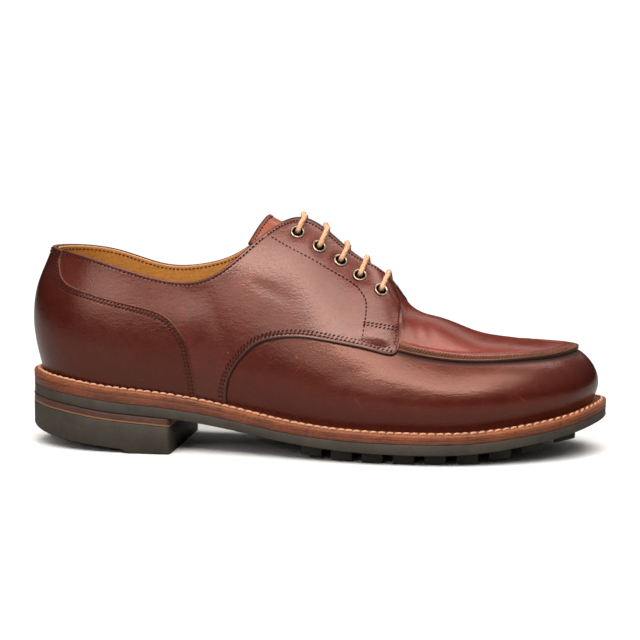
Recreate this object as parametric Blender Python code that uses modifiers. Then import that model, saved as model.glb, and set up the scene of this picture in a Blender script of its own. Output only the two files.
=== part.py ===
"""Right-foot derby shoe: hollow leather upper, welted double sole with lugs, and a stacked heel.

Sizes are in millimetres and are scaled to metres when a mesh is made. +X points to the toe, -Y is the
outer (lateral) side, +Z is up, and the origin is on the floor under the middle of the sole.
"""
from collections import namedtuple
import math

import bmesh
import bpy
from mathutils import Matrix, Vector
import numpy as np

MM = 0.001
OBJECT_NAME = "derby_shoe"
SHARP_ANGLE = math.radians(35)

# Thicknesses and clearances
GAP = 0.3
UPPER_WALL = 1.8
QUARTER_THICK = 1.2
COUNTER_THICK = 1.8
TONGUE_THICK = 1.8
INSOLE_THICK = 2.5
INSOLE_CLEARANCE = 0.6
WELT_THICK = 3.0
RAND_THICK = 4.2

# How far the sole reaches past the feather edge, and the welt strip inside it
SOLE_REACH = 7.2
WELT_INSIDE = 4.5
SIDE_SHIFT = 1.3

# The last, one row for each section from the back of the heel to the tip of the toe.
# Breadths are measured outward from the last's own axis, on the lateral and on the medial side.
Edge = namedtuple("Edge", "section x lateral medial")
FEATHER = [
    Edge("heel_back", -145.5, 0.0, 0.0),
    Edge("heel_corner", -136.5, 19.5, 19.5),
    Edge("heel_side", -115.0, 30.0, 29.5),
    Edge("heel_front", -85.0, 32.6, 30.3),
    Edge("waist_back", -58.0, 33.4, 28.0),
    Edge("waist", -32.0, 35.6, 27.0),
    Edge("instep", -6.0, 40.6, 31.0),
    Edge("facing", 19.0, 45.6, 38.3),
    Edge("throat", 40.0, 48.1, 43.6),
    Edge("vamp_point", 50.0, 48.6, 45.2),
    Edge("ball", 68.0, 48.4, 46.0),
    Edge("tread", 91.0, 44.2, 44.4),
    Edge("toe_box", 114.0, 35.0, 39.0),
    Edge("toe_corner", 133.5, 21.5, 28.5),
    Edge("toe_tip", 145.5, -4.5, 4.5),
]
Line = namedtuple("Line", "section x lateral medial lateral_z medial_z")
BELLY = [
    Line("heel_back", -150.2, 0.0, 0.0, 64.0, 64.0),
    Line("heel_corner", -140.3, 21.0, 21.0, 62.0, 62.0),
    Line("heel_side", -116.5, 31.8, 31.0, 57.0, 57.0),
    Line("heel_front", -86.0, 33.6, 31.6, 52.0, 52.0),
    Line("waist_back", -58.0, 33.8, 29.8, 47.0, 47.0),
    Line("waist", -32.0, 36.6, 29.8, 42.0, 43.0),
    Line("instep", -6.0, 42.4, 34.6, 36.0, 38.0),
    Line("facing", 19.0, 47.8, 41.6, 32.0, 34.0),
    Line("throat", 40.0, 50.6, 46.6, 30.0, 32.0),
    Line("vamp_point", 50.0, 51.0, 48.0, 29.5, 31.5),
    Line("ball", 68.0, 50.8, 48.8, 29.0, 31.0),
    Line("tread", 91.5, 46.8, 47.0, 29.5, 31.0),
    Line("toe_box", 115.5, 37.4, 41.4, 31.0, 32.5),
    Line("toe_corner", 135.8, 23.0, 30.2, 33.0, 34.0),
    Line("toe_tip", 148.4, -4.8, 4.8, 35.5, 35.5),
]
SHOULDER = [
    Line("heel_back", -147.2, 0.0, 0.0, 86.0, 86.0),
    Line("heel_corner", -138.0, 18.8, 18.8, 84.0, 84.0),
    Line("heel_side", -115.0, 29.0, 28.4, 79.0, 79.5),
    Line("heel_front", -86.0, 31.0, 29.4, 74.0, 75.0),
    Line("waist_back", -58.0, 31.8, 28.8, 71.5, 73.0),
    Line("waist", -32.0, 33.4, 29.2, 72.0, 74.0),
    Line("instep", -6.0, 35.4, 32.0, 72.0, 75.0),
    Line("facing", 19.0, 37.6, 35.6, 65.0, 68.0),
    Line("throat", 40.0, 38.8, 38.2, 58.0, 61.0),
    Line("vamp_point", 49.0, 38.8, 38.8, 55.5, 58.5),
    Line("ball", 65.5, 37.8, 39.0, 52.2, 55.0),
    Line("tread", 87.0, 35.6, 38.0, 50.6, 52.2),
    Line("toe_box", 109.0, 28.4, 32.6, 51.0, 51.9),
    Line("toe_corner", 126.0, 16.4, 23.0, 51.6, 52.4),
    Line("toe_tip", 137.4, -4.6, 4.6, 53.0, 53.0),
]
# The top line: collar to the throat, then the ridge of the vamp where both sides meet.
# The lean is the slope of the wall at the open edge, in degrees above level.
TopLine = namedtuple("TopLine", "section x lateral medial lateral_z medial_z lean")
TOP = [
    TopLine("heel_back", -139.6, 0.0, 0.0, 104.6, 104.6, 72.0),
    TopLine("heel_corner", -130.6, 15.4, 15.4, 103.4, 104.0, 76.0),
    TopLine("heel_side", -111.5, 24.0, 24.0, 99.4, 100.6, 80.0),
    TopLine("heel_front", -86.0, 27.4, 26.4, 92.2, 93.0, 82.0),
    TopLine("waist_back", -63.0, 27.8, 26.6, 89.0, 94.0, 80.0),
    TopLine("waist", -40.0, 25.6, 24.6, 99.4, 103.8, 66.0),
    TopLine("instep", -9.0, 9.4, 10.0, 120.4, 119.8, 45.0),
    TopLine("facing", 19.0, 7.8, 7.4, 103.6, 101.2, 42.0),
    TopLine("throat", 39.5, 7.0, 6.6, 89.4, 86.8, 30.0),
    TopLine("vamp_point", 48.0, -1.2, 1.2, 76.4, 76.4, 0.0),
    TopLine("ball", 64.0, -2.2, 2.2, 69.0, 69.0, 0.0),
    TopLine("tread", 84.0, -3.4, 3.4, 61.1, 61.1, 0.0),
    TopLine("toe_box", 101.0, -4.0, 4.0, 57.8, 57.8, 0.0),
    TopLine("toe_corner", 113.5, -4.3, 4.3, 56.4, 56.4, 0.0),
    TopLine("toe_tip", 121.0, -4.5, 4.5, 55.9, 55.9, 0.0),
]
INSTEP = [row.section for row in TOP].index("instep")
RIDGE_START = [row.section for row in TOP].index("vamp_point")
OUTLINE_STEPS = 30
ROW_FEATHER, ROW_BELLY, ROW_SHOULDER, ROW_TOP = 0.0, 1.0, 2.0, 3.0

# The sole seen from the side: height of the welt's top, then the leather and the rubber under it
Profile = namedtuple("Profile", "x welt_top leather rubber")
SOLE_PROFILE = [
    Profile(-153.0, 40.0, 7.2, 5.6),
    Profile(-130.0, 37.5, 7.2, 5.7),
    Profile(-105.0, 34.4, 7.2, 5.8),
    Profile(-73.0, 31.4, 7.0, 5.6),
    Profile(-45.0, 27.0, 6.6, 5.2),
    Profile(-20.0, 22.0, 6.0, 5.2),
    Profile(5.0, 18.4, 5.4, 5.3),
    Profile(30.0, 16.9, 5.2, 5.6),
    Profile(60.0, 16.5, 5.0, 5.8),
    Profile(85.0, 17.0, 5.0, 5.6),
    Profile(110.0, 19.6, 5.0, 5.2),
    Profile(135.0, 23.8, 4.9, 4.8),
    Profile(153.0, 28.4, 4.8, 4.6),
]

# The heel: its square front, and its underside, flat in front and worn away to the back
Mark = namedtuple("Mark", "x z")
HEEL_BREAST = -71.0
HEEL_REACH = SOLE_REACH + 0.2
HEEL_BOTTOM = [
    Mark(-153.0, 10.2), Mark(-146.0, 8.4), Mark(-135.0, 6.2), Mark(-118.0, 4.0), Mark(-97.0, 2.0),
    Mark(-94.0, 0.0), Mark(-71.0, 0.0),
]

# Lugs under the forefoot, in rows from the waist to the toe; they shorten to the toe
LUG_HEIGHT = 6.2
LUG_TAPER = 1.2
LUG_EDGE_INSET = 7.0
LUG_LENGTH = 11.0
LUG_PITCH = 16.0
LUG_FIRST_X = -2.0
LUG_ROWS = 9
LUG_SIDE_WIDTH = 19.0
LUG_CHANNEL = 5.5
LUG_SINK = 1.5

# Panels that stand proud of the upper, as lines in the side view
COUNTER_EDGE = [
    Mark(-136.0, 108.0), Mark(-132.0, 95.0), Mark(-122.0, 84.0), Mark(-98.0, 78.0), Mark(-77.0, 73.2),
    Mark(-66.5, 65.0), Mark(-60.8, 50.0), Mark(-57.5, 36.0),
]
QUARTER_EDGE = [
    Mark(-43.4, 30.0), Mark(-38.8, 43.2), Mark(-32.6, 52.0), Mark(-21.5, 60.0), Mark(-2.4, 62.9),
    Mark(25.0, 58.9), Mark(47.0, 55.0),
]
PANEL_GAP = 0.5
PANEL_CLEARANCE = 1.4
PANEL_FOOT = 0.9
PANEL_LEAST = 0.1
QUARTER_START = 3.0
EDGE_MARGIN = 0.02

# Tongue: the rows it spans under the facings, how far it runs back of them and stops short of the
# vamp, and its top edge, which drops and runs back to both sides
TONGUE_CLEARANCE = 1.3
TONGUE_ROWS = (2.46, 2.64, 2.82, 2.97)
TONGUE_BACK = 2.0
TONGUE_FRONT = 7.0
TONGUE_TIP = Mark(-25.4, 122.6)
TONGUE_TIP_HALF = 15.0
TONGUE_TIP_DROP = 14.0
TONGUE_TIP_BACK = 8.3
TONGUE_DROP_POWER = 1.8
TONGUE_BACK_POWER = 1.5

# Lacing
EYELETS_PER_SIDE = 5
EYELET_LINE = [Mark(-7.6, 113.7), Mark(36.9, 84.7)]
EYELET_BARREL = 2.7
EYELET_BORE = 2.3
EYELET_FLANGE = 3.7
EYELET_CROWN = 3.2
EYELET_LIP = 0.25
EYELET_RISE = 0.7
EYELET_HOLE = 3.0
EYELET_PUNCH = 16.0
EYELET_SIDES = 12
Place = namedtuple("Place", "along row centre direction")
LACE_RADIUS = 1.3
LACE_CLEARANCE = 1.6
LACE_ARCH = 0.8
LACE_POINTS = 11

Finish = namedtuple("Finish", "colour roughness metallic")
FINISHES = {
    "upper_leather": Finish((0.150, 0.036, 0.026), 0.34, 0.0),
    "counter_leather": Finish((0.120, 0.028, 0.022), 0.34, 0.0),
    "tongue_leather": Finish((0.180, 0.050, 0.032), 0.40, 0.0),
    "insole_leather": Finish((0.480, 0.250, 0.080), 0.60, 0.0),
    "welt_leather": Finish((0.270, 0.085, 0.035), 0.50, 0.0),
    "midsole_leather": Finish((0.250, 0.080, 0.034), 0.55, 0.0),
    "heel_leather": Finish((0.170, 0.060, 0.032), 0.55, 0.0),
    "sole_rubber": Finish((0.060, 0.050, 0.038), 0.70, 0.0),
    "heel_rubber": Finish((0.058, 0.046, 0.036), 0.70, 0.0),
    "eyelet_brass": Finish((0.620, 0.480, 0.300), 0.35, 1.0),
    "lace_cord": Finish((0.560, 0.310, 0.130), 0.75, 0.0),
}


def clear_scene():
    for item in list(bpy.data.objects):
        bpy.data.objects.remove(item, do_unlink=True)


def make_collection(name):
    group = bpy.data.collections.new(name)
    bpy.context.scene.collection.children.link(group)
    return group


def make_material(name):
    finish = FINISHES[name]
    material = bpy.data.materials.new(name)
    material.use_nodes = True
    shader = material.node_tree.nodes["Principled BSDF"]
    shader.inputs["Base Color"].default_value = (*finish.colour, 1.0)
    shader.inputs["Roughness"].default_value = finish.roughness
    shader.inputs["Metallic"].default_value = finish.metallic
    return material


def spline(knots, values, at):
    """Natural cubic spline through values at the knots, read at the given places."""
    knots = np.asarray(knots, float)
    values = np.asarray(values, float)
    count = len(knots)
    step = np.diff(knots)
    slope = np.diff(values, axis=0) / step.reshape(-1, *[1] * (values.ndim - 1))
    matrix = np.zeros((count, count))
    right = np.zeros_like(values)
    matrix[0, :2] = 2.0, 1.0
    matrix[-1, -2:] = 1.0, 2.0
    right[0] = 3.0 * slope[0]
    right[-1] = 3.0 * slope[-1]
    for k in range(1, count - 1):
        matrix[k, k - 1:k + 2] = step[k], 2.0 * (step[k - 1] + step[k]), step[k - 1]
        right[k] = 3.0 * (step[k] * slope[k - 1] + step[k - 1] * slope[k])
    tangent = np.linalg.solve(matrix, right.reshape(count, -1)).reshape(values.shape)
    at = np.asarray(at, float)
    k = np.clip(np.searchsorted(knots, at, side="right") - 1, 0, count - 2)
    return hermite(values[k], values[k + 1], tangent[k], tangent[k + 1], step[k], (at - knots[k]) / step[k])


def hermite(start, end, start_slope, end_slope, span, part):
    """Cubic between two values, part running from 0 to 1 over the span."""
    extra = [1] * (np.ndim(start) - np.ndim(part))
    part = np.reshape(part, np.shape(part) + tuple(extra))
    span = np.reshape(span, np.shape(span) + tuple([1] * (np.ndim(start) - np.ndim(span))))
    p2, p3 = part ** 2, part ** 3
    blend = (2 * p3 - 3 * p2 + 1) * start + (3 * p2 - 2 * p3) * end
    return blend + span * ((p3 - 2 * p2 + part) * start_slope + (p3 - p2) * end_slope)


def sole_height(x, column):
    """A column of the sole's side profile at x."""
    return spline([row.x for row in SOLE_PROFILE], [getattr(row, column) for row in SOLE_PROFILE], x)


def welt_top(x):
    return sole_height(x, "welt_top")


def leather_bottom(x):
    return welt_top(x) - sole_height(x, "leather")


def rubber_bottom(x):
    return leather_bottom(x) - sole_height(x, "rubber")


def section_points(table, lateral):
    """A line's points, one for each section, on one side of the last."""
    points = []
    for row in table:
        y = SIDE_SHIFT + (-row.lateral if lateral else row.medial)
        if table is FEATHER:
            z = float(welt_top(row.x)) + GAP
        else:
            z = row.lateral_z if lateral else row.medial_z
        points.append((row.x, y, z))
    return np.array(points)


def girth_knots():
    """Distance of each section along the lateral feather edge."""
    steps = np.linalg.norm(np.diff(section_points(FEATHER, True), axis=0), axis=1)
    return np.concatenate([[0.0], np.cumsum(steps)])


KNOTS = girth_knots()
TOE = KNOTS[-1]
RIDGE = KNOTS[RIDGE_START]
WRAP = 3


def side_line(table, along, lateral):
    """A line of the last, read along one side and on round the heel and the toe."""
    own = section_points(table, lateral)
    other = section_points(table, not lateral)
    knots = np.concatenate([-KNOTS[WRAP:0:-1], KNOTS, 2 * TOE - KNOTS[-2:-2 - WRAP:-1]])
    values = np.concatenate([other[WRAP:0:-1], own, other[-2:-2 - WRAP:-1]])
    return spline(knots, values, along)


def top_line(along, lateral):
    """Collar and throat edge, and past the throat the ridge that both sides share."""
    own = side_line(TOP, along, lateral)
    shared = 0.5 * (own + side_line(TOP, along, not lateral))
    return np.where((along >= RIDGE)[:, None], shared, own)


def top_direction(along, shoulder, top):
    """Unit direction in which the wall arrives at the top line."""
    level = top - shoulder
    level[:, 2] = 0.0
    level /= np.linalg.norm(level, axis=1)[:, None]
    lean = np.radians(spline(KNOTS, [row.lean for row in TOP], np.clip(along, 0.0, TOE)))
    ahead = top_line(np.minimum(along, TOE - 2.0) + 1.0, True)
    behind = top_line(np.minimum(along, TOE - 2.0) - 1.0, True)
    ridge_slope = (ahead[:, 2] - behind[:, 2]) / np.maximum(ahead[:, 0] - behind[:, 0], 0.01)
    rise = np.where(along >= RIDGE, ridge_slope * level[:, 0], np.tan(lean))
    direction = np.column_stack([level[:, :2], rise])
    return direction / np.linalg.norm(direction, axis=1)[:, None]


def half_surface(along, rows, lateral):
    """Outer face of the upper on one side: rows 0 to 3 run from the feather edge to the top line."""
    lines = [side_line(table, along, lateral) for table in (FEATHER, BELLY, SHOULDER)]
    lines.append(top_line(along, lateral))
    points = np.stack(lines, axis=1)
    chord = np.linalg.norm(np.diff(points, axis=1), axis=2)
    count = len(along)
    matrix = np.zeros((count, 4, 4))
    right = np.zeros((count, 4, 3))
    slope = np.diff(points, axis=1) / chord[:, :, None]
    matrix[:, 0, 0] = 2.0
    matrix[:, 0, 1] = 1.0
    right[:, 0] = 3.0 * slope[:, 0]
    for k in (1, 2):
        matrix[:, k, k - 1] = chord[:, k]
        matrix[:, k, k] = 2.0 * (chord[:, k - 1] + chord[:, k])
        matrix[:, k, k + 1] = chord[:, k - 1]
        right[:, k] = 3.0 * (chord[:, k, None] * slope[:, k - 1] + chord[:, k - 1, None] * slope[:, k])
    matrix[:, 3, 3] = 1.0
    right[:, 3] = top_direction(along, points[:, 2], points[:, 3].copy())
    tangent = np.linalg.solve(matrix, right)
    index = np.arange(count)[:, None]
    span = np.clip(np.floor(rows).astype(int), 0, 2)
    return hermite(points[index, span], points[index, span + 1], tangent[index, span],
                   tangent[index, span + 1], chord[index, span], rows - span)


def surface(along, rows):
    """Outer face of the upper: along is positive on the lateral side and negative on the medial."""
    along = np.asarray(along, float)
    rows = np.broadcast_to(np.asarray(rows, float), (len(along), np.shape(rows)[-1]))
    lateral = half_surface(np.abs(along), rows, True)
    medial = half_surface(np.abs(along), rows, False)
    return np.where((along >= 0.0)[:, None, None], lateral, medial)


def surface_normal(along, rows):
    """Unit normals that point out of the shoe."""
    along = np.asarray(along, float)
    rows = np.broadcast_to(np.asarray(rows, float), (len(along), np.shape(rows)[-1]))
    forward, up = 0.4, 0.02
    span = np.clip(along, -(TOE - forward), TOE - forward)
    run = surface(span + forward, rows) - surface(span - forward, rows)
    climb = surface(along, np.minimum(rows + up, ROW_TOP)) - surface(along, np.maximum(rows - up, ROW_FEATHER))
    normal = np.cross(run, climb)
    return normal / np.linalg.norm(normal, axis=2)[:, :, None]


def offset_surface(along, rows, distance):
    return surface(along, rows) + distance * surface_normal(along, rows)


def mark_height(marks, x):
    """Height at x of the smooth line through marks, level past its ends."""
    places = [mark.x for mark in marks]
    return spline(places, [mark.z for mark in marks], np.clip(x, places[0], places[-1]))


def row_at_line(along, marks, above=0.0):
    """Row where each rib crosses a line drawn in the side view."""
    rows = np.linspace(ROW_FEATHER, ROW_TOP, 121)
    points = surface(along, rows)
    over = points[:, :, 2] - mark_height(marks, points[:, :, 0]) - above
    found = []
    for rib in over:
        hits = np.nonzero(rib >= 0.0)[0]
        if len(hits) == 0:
            found.append(ROW_TOP)
        elif hits[0] == 0:
            found.append(ROW_FEATHER)
        else:
            k = hits[0]
            found.append(rows[k - 1] + (rows[k] - rows[k - 1]) * rib[k - 1] / (rib[k - 1] - rib[k]))
    return np.array(found)


def along_at_x(x, row, lateral):
    """Place along one side where a row of the upper passes x."""
    along = np.linspace(0.0, TOE, 400)
    line = half_surface(along, np.full((len(along), 1), row), lateral)[:, 0, 0]
    place = np.interp(x, line, along)
    return place if lateral else -place


def add_object(name, mesh, material, group):
    item = bpy.data.objects.new(name, mesh)
    mesh.materials.clear()
    mesh.materials.append(material)
    group.objects.link(item)
    return item


def finish_mesh(name, vertices, faces):
    """Closed mesh in metres, faces turned outward and rounded pieces shaded smooth."""
    mesh = bpy.data.meshes.new(name)
    mesh.from_pydata([Vector(point) * MM for point in vertices], [], faces)
    form = bmesh.new()
    form.from_mesh(mesh)
    bmesh.ops.recalc_face_normals(form, faces=form.faces)
    form.to_mesh(mesh)
    form.free()
    mesh.shade_smooth()
    mesh.set_sharp_from_angle(angle=SHARP_ANGLE)
    return mesh


def upper_mesh():
    """Hollow upper: outer and inner skins joined at the collar, the throat and the feather edge."""
    throat_end = 24
    along = np.concatenate([np.linspace(0.0, RIDGE, throat_end + 1), np.linspace(RIDGE, TOE, 13)[1:]])
    walls = [np.linspace(ROW_FEATHER, ROW_BELLY, 3, endpoint=False),
             np.linspace(ROW_BELLY, ROW_SHOULDER, 3, endpoint=False), np.linspace(ROW_SHOULDER, ROW_TOP, 5)]
    rows = np.concatenate(walls)
    last = len(rows) - 1
    vertices = []
    skins = []
    for distance in (0.0, -UPPER_WALL):
        index = np.zeros((2, len(along), len(rows)), int)
        for side, sign in enumerate((1.0, -1.0)):
            signed = sign * np.maximum(along, 1e-6)
            points = surface(signed, rows)
            normal = surface_normal(signed, rows)
            level = normal[:, 0].copy()
            level[:, 2] = 0.0
            normal[:, 0] = level / np.linalg.norm(level, axis=1)[:, None]
            points = points + distance * normal
            for column in range(len(along)):
                for row in range(len(rows)):
                    on_seam = column in (0, len(along) - 1)
                    on_ridge = row == last and column >= throat_end
                    if side == 1 and (on_seam or on_ridge):
                        index[1, column, row] = index[0, column, row]
                    else:
                        index[side, column, row] = len(vertices)
                        vertices.append(points[column, row])
        skins.append(index)
    faces = []
    for skin in skins:
        for side in skin:
            for column in range(len(along) - 1):
                for row in range(last):
                    corners = (side[column, row], side[column + 1, row],
                               side[column + 1, row + 1], side[column, row + 1])
                    faces.append(tuple(int(corner) for corner in dict.fromkeys(corners)))
    outer, inner = skins
    for side in (0, 1):
        for column in range(len(along) - 1):
            edges = [0] if column >= throat_end else [0, last]
            for row in edges:
                faces.append(tuple(int(corner) for corner in (
                    outer[side, column, row], outer[side, column + 1, row],
                    inner[side, column + 1, row], inner[side, column, row])))
    return finish_mesh("upper", vertices, faces)


def slab_between(name, low, high):
    """Closed solid between two grids of the same size."""
    columns, rows = low.shape[:2]
    vertices = list(low.reshape(-1, 3)) + list(high.reshape(-1, 3))
    shift = columns * rows
    faces = []
    for column in range(columns - 1):
        for row in range(rows - 1):
            a = column * rows + row
            quad = (a, a + rows, a + rows + 1, a + 1)
            faces.append(quad)
            faces.append(tuple(shift + corner for corner in reversed(quad)))
    border = [(column * rows, (column + 1) * rows) for column in range(columns - 1)]
    border += [((columns - 1) * rows + row, (columns - 1) * rows + row + 1) for row in range(rows - 1)]
    border += [((column + 1) * rows - 1, (column + 2) * rows - 1) for column in range(columns - 1)]
    border += [(row, row + 1) for row in range(rows - 1)]
    for a, b in border:
        faces.append((a, b, shift + b, shift + a))
    return finish_mesh(name, vertices, faces)


def panel_mesh(name, along, low_rows, high_rows, count, thickness):
    """Leather panel that lies on the upper between two rows of each rib."""
    part = np.linspace(0.0, 1.0, count)
    rows = low_rows[:, None] + (high_rows - low_rows)[:, None] * part
    inside = offset_surface(along, rows, PANEL_GAP)
    return slab_between(name, inside, offset_surface(along, rows, PANEL_GAP + thickness))


def foot_row(along):
    """Lowest row of a panel, just clear of the welt."""
    rows = np.linspace(0.0, 1.0, 41)
    points = surface(along, rows)
    return np.array([np.interp(rib[0, 2] + PANEL_FOOT, rib[:, 2], rows) for rib in points])


def counter_mesh():
    end = [along_at_x(COUNTER_EDGE[-1].x - PANEL_GAP, ROW_BELLY * 0.5, side) for side in (False, True)]
    along = np.linspace(end[0], end[1], 35)
    low = foot_row(along)
    high = np.minimum(row_at_line(along, COUNTER_EDGE), ROW_TOP - EDGE_MARGIN)
    return panel_mesh("heel_counter", along, low, np.maximum(high, low + PANEL_LEAST), 6, COUNTER_THICK)


def quarter_mesh(name, lateral):
    back = along_at_x(COUNTER_EDGE[1].x + QUARTER_START, ROW_TOP, lateral)
    front = along_at_x(QUARTER_EDGE[-1].x, ROW_SHOULDER, lateral)
    along = np.linspace(back, front, 36)
    low = foot_row(along)
    counter = row_at_line(along, COUNTER_EDGE, PANEL_CLEARANCE)
    behind_counter = surface(along, np.array([ROW_BELLY * 0.5]))[:, 0, 0] < COUNTER_EDGE[-1].x + PANEL_CLEARANCE
    low = np.where(behind_counter, np.maximum(counter, low), low)
    low = np.maximum(low, row_at_line(along, QUARTER_EDGE))
    high = np.full(len(along), ROW_TOP - EDGE_MARGIN)
    return panel_mesh(name, along, np.minimum(low, high - PANEL_LEAST), high, 6, QUARTER_THICK)


def feather_outline(reach, along):
    """Plan outline of the sole at a distance outside the feather edge, lateral and medial sides."""
    sides = []
    for lateral in (True, False):
        place = side_line(FEATHER, along, lateral)[:, :2]
        run = side_line(FEATHER, along + 0.3, lateral)[:, :2] - side_line(FEATHER, along - 0.3, lateral)[:, :2]
        run /= np.linalg.norm(run, axis=1)[:, None]
        out = np.column_stack([run[:, 1], -run[:, 0]])
        sides.append(place + reach * (out if lateral else -out))
    for end in (0, -1):
        middle = 0.5 * (sides[0][end] + sides[1][end])
        sides[0][end] = sides[1][end] = middle
    return sides


def outline_places():
    """Places along one side of the sole, closer together round the heel and the toe."""
    return TOE * 0.5 * (1.0 - np.cos(np.linspace(0.0, math.pi, OUTLINE_STEPS)))


def sole_slab(name, reach, top, bottom, last_x=None):
    """Slab with the sole's outline between two heights given along x; last_x cuts it off square."""
    lateral, medial = feather_outline(reach, outline_places())
    if last_x is not None:
        keep = np.maximum(lateral[:, 0], medial[:, 0]) < last_x - 1.0
        ends = [[last_x, np.interp(last_x, side[:, 0], side[:, 1])] for side in (lateral, medial)]
        lateral = np.vstack([lateral[keep], ends[0]])
        medial = np.vstack([medial[keep], ends[1]])
    plan = np.stack([lateral, medial], axis=1)
    final = len(plan) - 1
    vertices = []
    index = np.zeros((2, len(plan), 2), int)
    for layer, height in enumerate((bottom, top)):
        for column, line in enumerate(plan):
            for side, (x, y) in enumerate(line):
                pointed = column == 0 or (column == final and last_x is None)
                if side == 1 and pointed:
                    index[layer, column, 1] = index[layer, column, 0]
                else:
                    index[layer, column, side] = len(vertices)
                    vertices.append((x, y, float(height(x))))
    faces = []

    def add_face(*corners):
        corners = tuple(int(corner) for corner in dict.fromkeys(corners))
        if len(corners) > 2:
            faces.append(corners)

    for column in range(final):
        here, after = index[:, column], index[:, column + 1]
        for layer in (0, 1):
            add_face(here[layer, 0], after[layer, 0], after[layer, 1], here[layer, 1])
        for side in (0, 1):
            add_face(here[0, side], after[0, side], after[1, side], here[1, side])
    if last_x is not None:
        add_face(index[0, -1, 0], index[0, -1, 1], index[1, -1, 1], index[1, -1, 0])
    return finish_mesh(name, vertices, faces)


def welt_mesh():
    """Welt strip round the whole shoe, under the feather edge."""
    half = outline_places()
    vertices = []
    corners = ((SOLE_REACH, 0.0), (-WELT_INSIDE, 0.0), (-WELT_INSIDE, WELT_THICK), (SOLE_REACH, WELT_THICK))
    loops = []
    for reach, depth in corners:
        lateral, medial = feather_outline(reach, half)
        ring = np.vstack([lateral, medial[-2:0:-1]])
        loops.append(list(range(len(vertices), len(vertices) + len(ring))))
        vertices += [(x, y, float(welt_top(x)) - depth) for x, y in ring]
    faces = []
    for k, loop in enumerate(loops):
        following = loops[(k + 1) % len(loops)]
        for n in range(len(loop)):
            after = (n + 1) % len(loop)
            faces.append((loop[n], loop[after], following[after], following[n]))
    return finish_mesh("welt", vertices, faces)


def lug_bottom(x):
    return max(0.0, LUG_TAPER * (float(rubber_bottom(x)) - LUG_HEIGHT))


def lug_mesh():
    """Rows of blocks under the forefoot, clear of the edge of the sole."""
    along = np.linspace(0.0, TOE, 300)
    lateral, medial = feather_outline(SOLE_REACH - LUG_EDGE_INSET, along)
    form = bmesh.new()
    for row in range(LUG_ROWS):
        back = LUG_FIRST_X + row * LUG_PITCH
        front = back + LUG_LENGTH
        low_y = max(np.interp(x, lateral[:, 0], lateral[:, 1]) for x in (back, front))
        high_y = min(np.interp(x, medial[:, 0], medial[:, 1]) for x in (back, front))
        for y0, y1 in lug_spans(low_y, high_y):
            block = bmesh.ops.create_cube(form, size=1.0)["verts"]
            for vertex in block:
                x = back if vertex.co.x < 0 else front
                y = y0 if vertex.co.y < 0 else y1
                z = lug_bottom(x) if vertex.co.z < 0 else float(rubber_bottom(x)) + LUG_SINK
                vertex.co = Vector((x, y, z)) * MM
    mesh = bpy.data.meshes.new("lugs")
    form.to_mesh(mesh)
    form.free()
    return mesh


def lug_spans(low_y, high_y):
    """Widths of the blocks in one row: two at the sides and one between them where there is room."""
    width = high_y - low_y
    middle = width - 2 * (LUG_SIDE_WIDTH + LUG_CHANNEL)
    if middle > LUG_CHANNEL:
        inner = low_y + LUG_SIDE_WIDTH + LUG_CHANNEL
        return [(low_y, low_y + LUG_SIDE_WIDTH), (inner, inner + middle), (high_y - LUG_SIDE_WIDTH, high_y)]
    half = 0.5 * (width - LUG_CHANNEL)
    return [(low_y, low_y + half), (high_y - half, high_y)]


def boolean(item, cutter, operation):
    modifier = item.modifiers.new(operation.lower(), "BOOLEAN")
    modifier.operation = operation
    modifier.solver = "EXACT"
    modifier.object = cutter


def tongue_mesh():
    """Tongue under the facings: it follows their inner face and bridges the throat."""
    depth = UPPER_WALL + TONGUE_CLEARANCE
    along = np.linspace(KNOTS[INSTEP] - TONGUE_BACK, RIDGE - TONGUE_FRONT, 12)
    rows = np.array(TONGUE_ROWS)
    lateral = offset_surface(along, rows, -depth)
    medial = offset_surface(-along, rows, -depth)
    middle = 0.5 * (lateral[:, -1] + medial[:, -1])
    section = np.concatenate([lateral, middle[:, None], medial[:, ::-1]], axis=1)
    tip = tongue_tip(section[0])
    rear = [tip + part * (section[0] - tip) for part in np.linspace(0.0, 1.0, 4)[:-1]]
    grid = np.concatenate([np.array(rear), section], axis=0)
    normal = np.cross(np.gradient(grid, axis=0), np.gradient(grid, axis=1))
    normal /= np.linalg.norm(normal, axis=2)[:, :, None]
    normal *= np.sign(normal[:, len(rows), 2])[:, None, None]
    return slab_between("tongue", grid - TONGUE_THICK * normal, grid)


def tongue_tip(section):
    """Top edge of the tongue, a row of points that belongs to the section below it."""
    across = section[:, 1] - SIDE_SHIFT
    across = across * TONGUE_TIP_HALF / np.max(np.abs(across))
    part = np.abs(across) / TONGUE_TIP_HALF
    x = TONGUE_TIP.x - TONGUE_TIP_BACK * part ** TONGUE_BACK_POWER
    z = TONGUE_TIP.z - TONGUE_TIP_DROP * part ** TONGUE_DROP_POWER
    return np.column_stack([x, SIDE_SHIFT + across, z])


def eyelet_places(lateral):
    """Place along the facing, centre and outward direction of each eyelet of one side."""
    places = []
    first, last = EYELET_LINE
    for x in np.linspace(first.x, last.x, EYELETS_PER_SIDE):
        row = 0.5 * (ROW_SHOULDER + ROW_TOP)
        for _ in range(4):
            along = np.array([along_at_x(x, row, lateral)])
            row = row_at_line(along, EYELET_LINE)[0]
        centre = offset_surface(along, np.array([row]), PANEL_GAP + QUARTER_THICK)[0, 0]
        direction = surface_normal(along, np.array([row]))[0, 0]
        places.append(Place(along, row, Vector(centre), Vector(direction)))
    return places


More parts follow.
